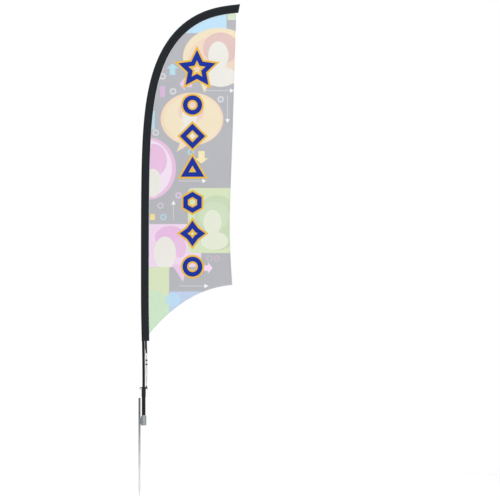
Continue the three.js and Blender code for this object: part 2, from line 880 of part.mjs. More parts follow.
function pocketSection(arc) {
  const trail = sleeveTrail(arc) - sleeve_seam;
  return sleeveSection(pocket_radius, tab_half + seat_gap, trail, sleeve_edge_half / 2);
}

function endArc(across, offset) {
  return pole_arc_end + offset - sleeve_end_slant * (across + sleeve_lead);
}

function level(section, arc) {
  return section(arc).map(([across, y]) => place(across, y, arc));
}

function slanted(section, offset) {
  return section(pole_arc_end).map(([across, y]) => place(across, y, endArc(across, offset)));
}

const last_level_arc = pole_arc_end - sleeve_end_slant * sleeve_width_head - 8;
const cover = coverSection(0);
const cover_levels = arcsBetween(sleeve_foot_arc, last_level_arc).map((arc) => level(cover, arc));
const pocket_arcs = arcsBetween(sleeve_foot_arc - 5, pole_arc_end - sleeve_closed_end);
const pocket_levels = pocket_arcs.map((arc) => level(pocketSection, arc));
const sleeve = toSolid(skin([...cover_levels, slanted(cover, 0)], false))
  .subtract(toSolid(skin(pocket_levels, false)));
add('pole_sleeve', sleeve, sleeve_fabric);

const band_outer = coverSection(seat_gap + reinforcement_cloth);
const band_inner = coverSection(seat_gap);
const band_skin = skin(
  [
    slanted(band_outer, -reinforcement_length),
    slanted(band_outer, seat_gap + reinforcement_cloth),
  ],
  false,
);
const band_hollow = skin(
  [slanted(band_inner, -reinforcement_length - 5), slanted(band_inner, seat_gap)],
  false,
);
add('tip_reinforcement', toSolid(band_skin).subtract(toSolid(band_hollow)), webbing_fabric);

// ---- cloth panels ----------------------------------------------------------------------------

// The panels start just behind the sleeve seam, end at the fly edge, and have a hollowed base.
const panel_outline = new THREE.Shape();
const panel_top_arc = endArc(sleeveTrail(pole_arc_end), -reinforcement_length - 2);
const lead_arcs = arcsBetween(hem_arc, panel_top_arc);
const lead_spots = lead_arcs.map((arc) => place(sleeveTrail(arc) + seat_gap, 0, arc));
const hem_start = lead_spots[0];
const panel_head = lead_spots[lead_spots.length - 1];
panel_outline.moveTo(hem_start.x, hem_start.z);
for (const spot of lead_spots.slice(1)) {
  panel_outline.lineTo(spot.x, spot.z);
}
const fly_edge = new THREE.SplineCurve([
  new THREE.Vector2(panel_head.x, panel_head.z),
  new THREE.Vector2(fly_shoulder_x, fly_shoulder_z),
  new THREE.Vector2((fly_shoulder_x + fly_waist_x) / 2, (fly_shoulder_z + fly_waist_z) / 2),
  new THREE.Vector2(fly_waist_x, fly_waist_z),
  new THREE.Vector2(fly_corner_x, fly_corner_z),
]);
for (const spot of fly_edge.getPoints(28).slice(1)) {
  panel_outline.lineTo(spot.x, spot.y);
}
const base_edge = new THREE.QuadraticBezierCurve(
  new THREE.Vector2(fly_corner_x, fly_corner_z),
  new THREE.Vector2(base_hollow_x, base_hollow_z),
  new THREE.Vector2(hem_start.x, hem_start.z),
);
for (const spot of base_edge.getPoints(18).slice(1, -1)) {
  panel_outline.lineTo(spot.x, spot.y);
}

const plies = [
  ['front_panel', -liner_cloth / 2 - ply_gap - panel_cloth, panel_cloth, printed_cloth],
  ['blockout_liner', -liner_cloth / 2, liner_cloth, liner_fabric],
  ['back_panel', liner_cloth / 2 + ply_gap, panel_cloth, printed_cloth],
];
for (const [name, near_y, cloth, look] of plies) {
  const ply = slab(panel_outline, cloth, axisX, axisZ, axisY.clone().negate());
  ply.translate(0, near_y + cloth, 0);
  add(name, toSolid(ply), look);
}

export default flag;
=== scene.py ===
"""Looks for a double-sided feather flag on a rotating ground spike.

Lengths are in metres, +Z up. The origin is the point of the pole's axis that stands level with the
ground, and the cloth flies towards +X. The frame gives the places of the hardware. The pole's path
and the cloth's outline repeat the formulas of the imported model.
"""

import json
import math
from contextlib import contextmanager

import bmesh
import bpy
import numpy as np
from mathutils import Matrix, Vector


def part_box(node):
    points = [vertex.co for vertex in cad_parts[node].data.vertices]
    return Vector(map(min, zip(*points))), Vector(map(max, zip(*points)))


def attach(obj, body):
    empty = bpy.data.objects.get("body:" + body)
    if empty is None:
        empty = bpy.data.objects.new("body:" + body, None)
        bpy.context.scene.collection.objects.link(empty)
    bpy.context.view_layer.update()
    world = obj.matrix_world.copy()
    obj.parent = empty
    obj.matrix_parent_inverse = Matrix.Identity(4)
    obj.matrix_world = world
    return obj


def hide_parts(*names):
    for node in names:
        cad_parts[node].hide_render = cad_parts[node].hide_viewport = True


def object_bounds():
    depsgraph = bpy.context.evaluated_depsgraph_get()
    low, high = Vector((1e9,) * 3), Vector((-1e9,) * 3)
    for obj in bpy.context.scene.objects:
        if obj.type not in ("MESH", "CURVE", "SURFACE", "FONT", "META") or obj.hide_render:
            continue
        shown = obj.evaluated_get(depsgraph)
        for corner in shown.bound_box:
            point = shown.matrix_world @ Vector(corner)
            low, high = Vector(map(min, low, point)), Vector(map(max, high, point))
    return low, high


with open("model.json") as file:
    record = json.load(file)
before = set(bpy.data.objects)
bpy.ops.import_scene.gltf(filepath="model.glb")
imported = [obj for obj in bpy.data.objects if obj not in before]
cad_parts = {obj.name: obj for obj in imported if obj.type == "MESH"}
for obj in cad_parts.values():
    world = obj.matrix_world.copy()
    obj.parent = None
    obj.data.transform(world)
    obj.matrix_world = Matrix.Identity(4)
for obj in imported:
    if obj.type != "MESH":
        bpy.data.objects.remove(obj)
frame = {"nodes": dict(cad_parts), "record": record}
cad_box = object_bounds()

MM = 0.001
TINY = 1e-6


def height(node, end):
    """The lowest (end 0) or highest (end 1) Z of a CAD node."""
    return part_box(node)[end].z


# ---- the pole's path ---------------------------------------------------------------------------

POLE_ARC = 2825 * MM
TIP_LEAN = math.radians(84.25)
BEND_SHARPNESS = 4.2
BOW_START = height("hook_collar", 1) + 10 * MM
BOW_LENGTH = 610 * MM
BACK_BOW = 7 * MM


def smooth(value, low, high):
    """0 below low, 1 above high, with a smooth step between."""
    t = np.clip((value - low) / (high - low), 0, 1)
    return t * t * (3 - 2 * t)


def lean(arc):
    """The pole's angle from upright. It bows back above the collar and bends over to its tip."""
    share = np.clip(arc / POLE_ARC, 0, 1)
    bent = np.sin(math.pi / 2 * share**BEND_SHARPNESS) ** 2
    bowed = np.sin(math.pi * np.clip((arc - BOW_START) / BOW_LENGTH, 0, 1)) ** 2
    return TIP_LEAN * bent - 2 * BACK_BOW / BOW_LENGTH * bowed


TABLE_STEP = 1 * MM
TABLE_ARCS = np.arange(0, POLE_ARC + 10 * TABLE_STEP, TABLE_STEP)
TABLE_LEANS = lean(TABLE_ARCS)


def summed(rates):
    """Adds up rates along the table of arcs, from 0."""
    return np.concatenate([[0], np.cumsum((rates[1:] + rates[:-1]) / 2) * TABLE_STEP])


TABLE_X = summed(np.sin(TABLE_LEANS))
TABLE_Z = summed(np.cos(TABLE_LEANS))


def place(across, y, arc):
    """Points at an arc length up the pole, across it towards the fly, and y to the side."""
    across, y, arc = np.broadcast_arrays(across, y, arc)
    turn = np.interp(arc, TABLE_ARCS, TABLE_LEANS)
    x = np.interp(arc, TABLE_ARCS, TABLE_X) + across * np.cos(turn)
    z = np.interp(arc, TABLE_ARCS, TABLE_Z) - across * np.sin(turn)
    return np.stack([x, y, z], -1)


# ---- camera, floor and light -------------------------------------------------------------------

VIEW_WIDTH = 3.0
AIM = Vector((0.638, 0, 1.052))
LENS = 200
FLOOR_Z = cad_box[0].z - 1 * MM
FLOOR_RADIUS = 2.4
FLOOR_COLOUR = (0.93, 0.93, 0.93, 1)
WHITE = (1, 1, 1, 1)
WORLD_LIT = 0.52
WORLD_SHOWN = 1.0
FLAG_MIDDLE = (0.3, 0, 1.0)
AREA_LIGHTS = [  # name, place, aim, width, watts
    ("key_front", (2.4, -6, 2.0), FLAG_MIDDLE, 3, 125),
    ("key_back", (-1.8, 6, 2.0), FLAG_MIDDLE, 3, 125),
    ("top", (AIM.x, 0, 5.5), (AIM.x, 0, FLOOR_Z), 4.4, 205),
]


def set_camera():
    data = bpy.data.cameras.new("camera")
    data.lens = LENS
    camera = bpy.data.objects.new("camera", data)
    away = VIEW_WIDTH * LENS / data.sensor_width
    camera.location = AIM - Vector((0, away, 0))
    camera.rotation_euler = (math.pi / 2, 0, 0)
    bpy.context.scene.collection.objects.link(camera)
    bpy.context.scene.camera = camera


def area_light(name, spot, aim, width, watts):
    data = bpy.data.lights.new(name, "AREA")
    data.shape = "SQUARE"
    data.size = width
    data.energy = watts
    light = bpy.data.objects.new(name, data)
    light.location = spot
    light.rotation_euler = (Vector(aim) - Vector(spot)).to_track_quat("-Z", "Y").to_euler()
    bpy.context.scene.collection.objects.link(light)


def set_world():
    """A soft grey surround lights the flag, and the camera sees white past it."""
    world = bpy.data.worlds.new("studio")
    world.use_nodes = True
    tree = world.node_tree
    tree.nodes.clear()
    path = tree.nodes.new("ShaderNodeLightPath")
    mix = tree.nodes.new("ShaderNodeMixShader")
    output = tree.nodes.new("ShaderNodeOutputWorld")
    tree.links.new(path.outputs["Is Camera Ray"], mix.inputs[0])
    tree.links.new(mix.outputs[0], output.inputs[0])
    for slot, strength in ((1, WORLD_LIT), (2, WORLD_SHOWN)):
        background = tree.nodes.new("ShaderNodeBackground")
        background.inputs["Color"].default_value = WHITE
        background.inputs["Strength"].default_value = strength
        tree.links.new(background.outputs[0], mix.inputs[slot])
    bpy.context.scene.world = world


def set_floor():
    bm = bmesh.new()
    bmesh.ops.create_circle(bm, cap_ends=True, segments=96, radius=FLOOR_RADIUS)
    mesh = bpy.data.meshes.new("floor")
    bm.to_mesh(mesh)
    bm.free()
    floor = bpy.data.objects.new("floor", mesh)
    floor.location = (AIM.x, 0, FLOOR_Z)
    paint = bpy.data.materials.new("pale_floor")
    paint.use_nodes = True
    shader = paint.node_tree.nodes["Principled BSDF"]
    shader.inputs["Base Color"].default_value = FLOOR_COLOUR
    shader.inputs["Roughness"].default_value = 0.9
    mesh.materials.append(paint)
    bpy.context.scene.collection.objects.link(floor)


set_camera()
set_floor()
set_world()
for light in AREA_LIGHTS:
    area_light(*light)
view_settings = bpy.context.scene.view_settings
view_settings.view_transform = "Standard"
view_settings.look = "None"


# ---- materials ---------------------------------------------------------------------------------


def tone(red, green, blue):
    """A colour given as 0 to 255 display values, in the linear values that sockets take."""

    def linear(value):
        share = value / 255
        return share / 12.92 if share <= 0.04045 else ((share + 0.055) / 1.055) ** 2.4

    return (linear(red), linear(green), linear(blue), 1)


class Look:
    """A material being built, with short calls for the nodes that its patterns are made of."""

    def __init__(self, name, colour, roughness, metallic=0.0, **sockets):
        self.material = bpy.data.materials.new(name)
        self.material.use_nodes = True
        self.material.diffuse_color = colour
        self.tree = self.material.node_tree
        self.shader = self.tree.nodes["Principled BSDF"]
        self.feed("Base Color", colour)
        self.feed("Roughness", roughness)
        self.feed("Metallic", metallic)
        for socket, value in sockets.items():
            self.feed(socket.replace("_", " ").title().replace("Ior", "IOR"), value)

    def feed(self, socket, value):
        """Sets or links an input of the main shader."""
        self.join(self.shader.inputs[socket], value)

    def join(self, socket, value):
        if isinstance(value, bpy.types.NodeSocket):
            self.tree.links.new(value, socket)
        elif value is not None:
            socket.default_value = value

    def add(self, kind, *inputs, **properties):
        """A new node. inputs are values or sockets for its first inputs, and None leaves one be."""
        node = self.tree.nodes.new("ShaderNode" + kind)
        for name, value in properties.items():
            setattr(node, name, value)
        for socket, value in zip(node.inputs, inputs):
            self.join(socket, value)
        return node

    def math(self, operation, a, b=None, c=None):
        return self.add("Math", a, b, c, operation=operation).outputs[0]

    def vector(self, operation, a, b=None):
        node = self.add("VectorMath", a, b, operation=operation)
        return node.outputs["Value" if operation in ("LENGTH", "DOT_PRODUCT") else "Vector"]

    def mix(self, factor, a, b):
        """Colour a where factor is 0, and b where it is 1."""
        node = self.add("Mix", factor, data_type="RGBA")
        self.join(node.inputs[6], a)
        self.join(node.inputs[7], b)
        return node.outputs[2]

    def object_point(self):
        return self.add("TexCoord").outputs["Object"]

    def cloth_point(self):
        """Metres across and along a piece's surface, from its UV map."""
        return self.add("UVMap", uv_map="surface").outputs[0]

    def noise(self, vector, scale, detail=3, roughness=0.5):
        node = self.add("TexNoise", noise_dimensions="3D")
        self.join(node.inputs["Vector"], vector)
        node.inputs["Scale"].default_value = scale
        node.inputs["Detail"].default_value = detail
        node.inputs["Roughness"].default_value = roughness
        return node.outputs[0]

    def stretched(self, vector, x, y, z):
        return self.vector("MULTIPLY", vector, (x, y, z))

    def spread(self, value, low, high, to_low, to_high):
        """Maps low..high to to_low..to_high, and holds it there outside."""
        node = self.add("MapRange", value, low, high, to_low, to_high, clamp=True)
        return node.outputs[0]

    def paint(self, share, dark, light):
        """Colours the surface: dark where a pattern is 0, light where it is 1."""
        self.feed("Base Color", self.mix(share, dark, light))

    def roughen(self, value, at_low, at_high, low=0.3, high=0.7):
        """Lets the roughness follow a pattern that runs from low to high."""
        self.feed("Roughness", self.spread(value, low, high, at_low, at_high))

    def emboss(self, relief, distance):
        """Gives the surface a fine relief that stands out by a distance."""
        node = self.add("Bump")
        node.inputs["Distance"].default_value = distance
        self.join(node.inputs["Height"], relief)
        self.feed("Normal", node.outputs[0])

    def attribute(self, name):
        return self.add("Attribute", attribute_name=name).outputs["Fac"]


SPANGLE_SCALE = 260
TAPE_PITCH = 9 * MM
RIB_ACROSS = 2.0 * MM
RIB_ALONG = 1.1 * MM
BRAID_ACROSS = 1.57 * MM
BRAID_ALONG = 2.4 * MM


def waves(look, value, period):
    """A value's angle in radians, one turn for each period."""
    return look.math("MULTIPLY", value, 2 * math.pi / period)


def weave_height(look, across_period, along_period):
    """Bumps of a plain weave over a piece's surface, from -1 to 1."""
    split = look.add("SeparateXYZ", look.cloth_point())
    over = look.math("SINE", waves(look, split.outputs[0], across_period))
    along = look.math("SINE", waves(look, split.outputs[1], along_period))
    return look.math("MULTIPLY", over, along)


def cloth_grain(look, fine, along):
    """Uneven threads both ways over a large cloth, from 0 to 1. Nothing in it repeats."""
    point = look.object_point()
    warp = look.noise(look.stretched(point, fine, fine, along), 1, 2)
    weft = look.noise(look.stretched(point, along, fine, fine), 1, 2)
    return look.math("MULTIPLY_ADD", warp, 0.5, look.math("MULTIPLY", weft, 0.5))


def galvanised(name, dull, bright):
    """Zinc with its crystal spangle, a dull film and darker stains."""
    look = Look(name, dull, 0.45, metallic=0.75)
    point = look.object_point()
    spangle = look.add("TexVoronoi", feature="F1")
    look.join(spangle.inputs["Vector"], point)
    spangle.inputs["Scale"].default_value = SPANGLE_SCALE
    crystal = look.add("SeparateXYZ", spangle.outputs["Color"]).outputs[0]
    film = look.noise(point, 60, 4, 0.6)
    shade = look.math("MULTIPLY_ADD", crystal, 0.35, look.math("MULTIPLY", film, 0.75))
    look.paint(look.spread(shade, 0.1, 1.0, 0, 1), dull, bright)
    look.roughen(film, 0.34, 0.58)
    grain = look.noise(point, 900, 2)
    relief = look.math("MULTIPLY_ADD", crystal, 0.4, grain)
    look.emboss(relief, 0.08 * MM)
    return look


def rod_steel():
    """The spike rod: dull at its head, rubbed bright by the soil towards its point."""
    look = galvanised("spike_steel", tone(96, 98, 100), tone(126, 128, 130))
    point = look.object_point()
    up = look.add("SeparateXYZ", point).outputs[2]
    streaks = look.noise(look.stretched(point, 900, 900, 14), 1, 3)
    worn = look.spread(look.math("MULTIPLY_ADD", streaks, 0.12, up), 0.12, -0.2, 0, 1)
    plain = look.shader.inputs["Base Color"].links[0].from_socket
    rubbed = look.mix(streaks, tone(205, 207, 208), tone(232, 234, 235))
    look.paint(worn, plain, rubbed)
    return look


def turned_steel(name, colour, roughness):
    """Bright machined steel with fine turning lines round it."""
    look = Look(name, colour, roughness, metallic=1.0)
    point = look.object_point()
    lines = look.noise(look.stretched(point, 20, 20, 5000), 1, 2)
    look.roughen(lines, roughness * 0.7, roughness * 1.5)
    look.paint(look.noise(point, 120), colour, tone(222, 224, 226))
    look.emboss(lines, 0.01 * MM)
    return look


def brass():
    look = Look("cage_brass", tone(176, 146, 84), 0.35, metallic=1.0)
    cloud = look.noise(look.object_point(), 500)
    look.paint(cloud, tone(160, 128, 70), tone(200, 168, 100))
    look.roughen(cloud, 0.28, 0.45)
    return look


def anodised():
    """Black anodised tube with drawing lines along it and rubbed spots."""
    look = Look("black_anodised", tone(24, 24, 27), 0.5, specular_ior_level=0.2)
    point = look.object_point()
    drawn = look.noise(look.stretched(point, 1800, 1800, 12), 1, 3)
    scuffs = look.spread(look.noise(point, 75, 5, 0.65), 0.56, 0.72, 0, 0.6)
    look.paint(scuffs, tone(24, 24, 27), tone(56, 57, 60))
    look.roughen(drawn, 0.44, 0.62)
    look.emboss(drawn, 0.02 * MM)
    return look


def fibreglass():
    """Resin-coated glass fibre, with the faint spiral that its wrapping tape leaves."""
    look = Look("black_fibreglass", tone(16, 16, 18), 0.5, specular_ior_level=0.2)
    split = look.add("SeparateXYZ", look.cloth_point())
    turn = look.math("MULTIPLY_ADD", split.outputs[0], 0.35, split.outputs[1])
    tape = look.math("SINE", waves(look, turn, TAPE_PITCH))
    cloud = look.noise(look.object_point(), 140, 4)
    look.paint(look.spread(cloud, 0.35, 0.7, 0, 1), tone(12, 12, 14), tone(25, 25, 28))
    look.roughen(cloud, 0.42, 0.6)
    look.emboss(tape, 0.06 * MM)
    return look


def moulded(name, colour, worn, roughness, grain, shine=0.25):
    """Moulded plastic or rubber with a fine grain and paler rubbed patches."""
    look = Look(name, colour, roughness, specular_ior_level=shine)
    point = look.object_point()
    speck = look.noise(point, grain, 2)
    rub = look.spread(look.noise(point, 90, 4), 0.5, 0.75, 0, 1)
    look.paint(rub, colour, worn)
    look.roughen(speck, roughness * 0.85, min(1, roughness * 1.2))
    look.emboss(speck, 0.05 * MM)
    return look


def sleeve_fabric():
    """Heavy black polyester: a plain weave, a little lint, and painted shade along the front fold
    and the seam.
    """
    look = Look("sleeve_fabric", tone(36, 40, 46), 0.9, sheen_weight=0.05, specular_ior_level=0.25)
    weave = cloth_grain(look, 900, 90)
    point = look.object_point()
    cloud = look.noise(point, 9, 4)
    lint = look.spread(look.noise(point, 700, 1), 0.68, 0.78, 0, 0.35)
    plain = look.mix(cloud, tone(26, 31, 36), tone(37, 42, 48))
    woven = look.mix(look.spread(weave, 0.35, 0.65, 0.5, 0), plain, tone(18, 21, 26))
    # Painted shade: the edge attribute darkens the cloth towards its round front fold and its seam.
    fold_and_seam_shaded = look.mix(look.attribute("edge"), woven, tone(17, 19, 23))
    look.paint(lint, fold_and_seam_shaded, tone(86, 88, 92))
    look.roughen(cloud, 0.8, 0.92)
    look.emboss(weave, 0.4 * MM)
    return look


def webbing():
    """Black webbing with fine ribs across it."""
    look = Look("black_webbing", tone(24, 25, 27), 0.8, sheen_weight=0.2)
    weave = weave_height(look, RIB_ACROSS, RIB_ALONG)
    look.paint(look.spread(weave, -1, 1, 0, 1), tone(17, 18, 20), tone(36, 37, 40))
    look.roughen(weave, 0.9, 0.74, -1, 1)
    look.emboss(weave, 0.25 * MM)
    return look


def braid():
    """White elastic cord: two sets of strands that cross round it."""
    look = Look("white_braid", tone(214, 215, 217), 0.7, sheen_weight=0.3)
    split = look.add("SeparateXYZ", look.cloth_point())
    round_cord = waves(look, split.outputs[0], BRAID_ACROSS)
    along = waves(look, split.outputs[1], BRAID_ALONG)
    one = look.math("SINE", look.math("ADD", round_cord, along))
    other = look.math("SINE", look.math("SUBTRACT", round_cord, along))
    strand = look.math("MAXIMUM", one, other)
    look.paint(look.spread(strand, -0.5, 0.8, 0, 1), tone(140, 141, 145), tone(226, 227, 229))
    look.roughen(strand, 0.9, 0.62, -0.5, 1)
    look.emboss(strand, 0.2 * MM)
    return look


def thread(name, dark, light):
    """Twisted sewing thread."""
    look = Look(name, light, 0.65)
    twist = look.noise(look.object_point(), 2600, 1)
    look.paint(twist, dark, light)
    look.roughen(twist, 0.55, 0.8)
    return look


# ---- the printed picture -----------------------------------------------------------------------

PRINT_EDGE = 1.2 * MM
INK_LINE = 4 * MM
BOX_CORNER = 2 * MM


class Print:
    """Shapes laid one over another on the cloth, at places in X and Z. A shape is a signed
    distance, below zero inside it. Each is laid as soon as it is made, so few are held at once."""

    def __init__(self, look, ground):
        self.look = look
        split = look.add("SeparateXYZ", look.object_point())
        flat = look.add("CombineXYZ", split.outputs[0], split.outputs[2], 0.0)
        self.point = flat.outputs[0]
        self.colour = ground

    def from_centre(self, x, z):
        return self.look.vector("SUBTRACT", self.point, (x, z, 0))

    def lay(self, distance, colour, strength=1.0):
        """Covers the picture so far with a colour inside a shape."""
        cover = self.look.math("MULTIPLY_ADD", distance, -strength / PRINT_EDGE, 0.5 * strength)
        cover = self.look.math("MINIMUM", cover, strength)
        cover = self.look.math("MAXIMUM", cover, 0.0)
        self.colour = self.look.mix(cover, self.colour, colour)

    def oval(self, x, z, wide, tall, colour, strength=1.0):
        self.lay(self.ellipse(x, z, wide, tall), colour, strength)

    def block(self, x0, x1, z0, z1, colour, corner=BOX_CORNER):
        self.lay(self.box(x0, x1, z0, z1, corner), colour)

    def wedge(self, a, b, c, colour):
        self.lay(self.polygon(a, b, c), colour)

    def grown(self, distance, amount):
        return self.look.math("SUBTRACT", distance, amount)

    def band(self, distance, half):
        """The line that lies half to each side of a shape's edge."""
        return self.grown(self.look.math("ABSOLUTE", distance), half)

    def ellipse(self, x, z, wide, tall):
        scaled = self.look.vector("MULTIPLY", self.from_centre(x, z), (1 / wide, 1 / tall, 0))
        reach = self.look.vector("LENGTH", scaled)
        size = min(wide, tall)
        return self.look.math("MULTIPLY_ADD", reach, size, -size)

    def box(self, x0, x1, z0, z1, corner=BOX_CORNER):
        centre = self.from_centre((x0 + x1) / 2, (z0 + z1) / 2)
        inner = ((x1 - x0) / 2 - corner, (z1 - z0) / 2 - corner, 0)
        past = self.look.vector("SUBTRACT", self.look.vector("ABSOLUTE", centre), inner)
        outside = self.look.vector("LENGTH", self.look.vector("MAXIMUM", past, (0, 0, 0)))
        return self.grown(outside, corner)

    def polygon(self, *corners):
        """A convex outline whose corners run anticlockwise."""
        farthest = None
        for (xa, za), (xb, zb) in zip(corners, corners[1:] + corners[:1]):
            length = math.hypot(xb - xa, zb - za)
            out = ((zb - za) / length, (xa - xb) / length, 0)
            level = out[0] * xa + out[1] * za
            side = self.grown(self.look.vector("DOT_PRODUCT", self.point, out), level)
            farthest = side if farthest is None else self.look.math("MAXIMUM", farthest, side)
        return farthest

    def star(self, x, z, points, outer, inner=None):
        """A star with a point at its top, or without an inner radius a regular polygon."""
        look = self.look
        inner = inner or outer * math.cos(math.pi / points)
        centre = self.from_centre(x, z)
        split = look.add("SeparateXYZ", centre)
        turn = look.math("ARCTAN2", split.outputs[0], split.outputs[1])
        share = look.math("PINGPONG", turn, math.pi / points)
        notch = (inner * math.cos(math.pi / points), inner * math.sin(math.pi / points))
        side = math.hypot(outer - notch[0], notch[1])
        slope = math.atan2(outer - notch[0], notch[1])
        facing = look.math("COSINE", look.math("SUBTRACT", share, slope))
        reach = look.math("MULTIPLY", look.vector("LENGTH", centre), facing)
        return self.grown(reach, outer * notch[1] / side)

    def gear(self, x, z, radius):
        """A small cog: a ring whose edge swells into eight teeth."""
        look = self.look
        centre = self.from_centre(x, z)
        split = look.add("SeparateXYZ", centre)
        turn = look.math("ARCTAN2", split.outputs[1], split.outputs[0])
        teeth = look.math("COSINE", look.math("MULTIPLY", turn, 8.0))
        reach = look.math("MULTIPLY_ADD", teeth, -0.14 * radius, look.vector("LENGTH", centre))
        return self.band(self.grown(reach, 0.74 * radius), 0.24 * radius)

    def bar(self, start, end, pad_x, pad_z, corner=BOX_CORNER):
        """The box about a level or upright line, with room added in X and Z."""
        x0, x1 = sorted((start[0], end[0]))
        z0, z1 = sorted((start[1], end[1]))
        return self.box(x0 - pad_x, x1 + pad_x, z0 - pad_z, z1 + pad_z, corner)

    def line_arrow(self, start, end):
        """A thin white arrow that runs level or upright."""
        half = INK_LINE / 2
        way = [float(np.sign(b - a)) for a, b in zip(start, end)]
        self.lay(self.bar(start, end, half, half, half), tone(240, 241, 244), 0.55)
        self.arrow_head(end, way, 13 * MM, 24 * MM, tone(252, 252, 254))

    def arrow_head(self, base, way, half, length, colour):
        (x, z), (dx, dz) = base, way
        tip = (x + dx * length, z + dz * length)
        left = (x - dz * half, z + dx * half)
        right = (x + dz * half, z - dx * half)
        self.wedge(tip, left, right, colour)

    def block_arrow(self, x, z, way, size, colour):
        """A short stout arrow about a centre."""
        dx, dz = way
        half = 0.26 * size
        tail = (x - dx * size / 2, z - dz * size / 2)
        neck = (x + dx * size * 0.1, z + dz * size * 0.1)
        self.lay(self.bar(tail, neck, abs(dz) * half, abs(dx) * half), colour)
        self.arrow_head(neck, way, 0.55 * size, 0.45 * size, colour)

    def sitter(self, x, z, size, hair, skin):
        """A plain pictogram of a head and shoulders: two ovals under a cap."""
        self.oval(x, z + 0.28 * size, 0.62 * size, 0.56 * size, hair)
        self.oval(x - 0.08 * size, z + 0.02 * size, 0.36 * size, 0.5 * size, skin)
        self.oval(x, z - 0.72 * size, 0.55 * size, 0.36 * size, skin)


SYMBOL_X = 293 * MM
SYMBOL_BLUE = tone(0, 44, 158)
SYMBOL_YELLOW = tone(240, 192, 62)
SYMBOL_STROKE = 28 * MM
SYMBOL_RIM = 11 * MM
COG_RADIUS = 20 * MM


def lay_symbol(art, shape):
    """A hollow blue symbol with a yellow rim to each side of its stroke."""
    middle = art.look.math("ADD", shape, SYMBOL_STROKE / 2)
    stroke = art.look.math("ABSOLUTE", middle)
    art.lay(art.grown(stroke, SYMBOL_STROKE / 2 + SYMBOL_RIM), SYMBOL_YELLOW)
    art.lay(art.grown(stroke, SYMBOL_STROKE / 2), SYMBOL_BLUE)


def lay_symbols(art):
    """A column of plain geometric symbols, the same from both faces of the flag."""
    lay_symbol(art, art.star(320 * MM, 2136 * MM, 5, 118 * MM, 58 * MM))
    lay_symbol(art, art.ellipse(SYMBOL_X, 1922 * MM, 58 * MM, 58 * MM))
    lay_symbol(art, art.star(SYMBOL_X, 1735 * MM, 4, 76 * MM))
    lay_symbol(art, art.star(SYMBOL_X, 1532 * MM, 3, 82 * MM))
    lay_symbol(art, art.star(SYMBOL_X, 1338 * MM, 6, 64 * MM))
    lay_symbol(art, art.star(SYMBOL_X, 1151 * MM, 4, 78 * MM, 46 * MM))
    lay_symbol(art, art.ellipse(SYMBOL_X, 952 * MM, 60 * MM, 60 * MM))


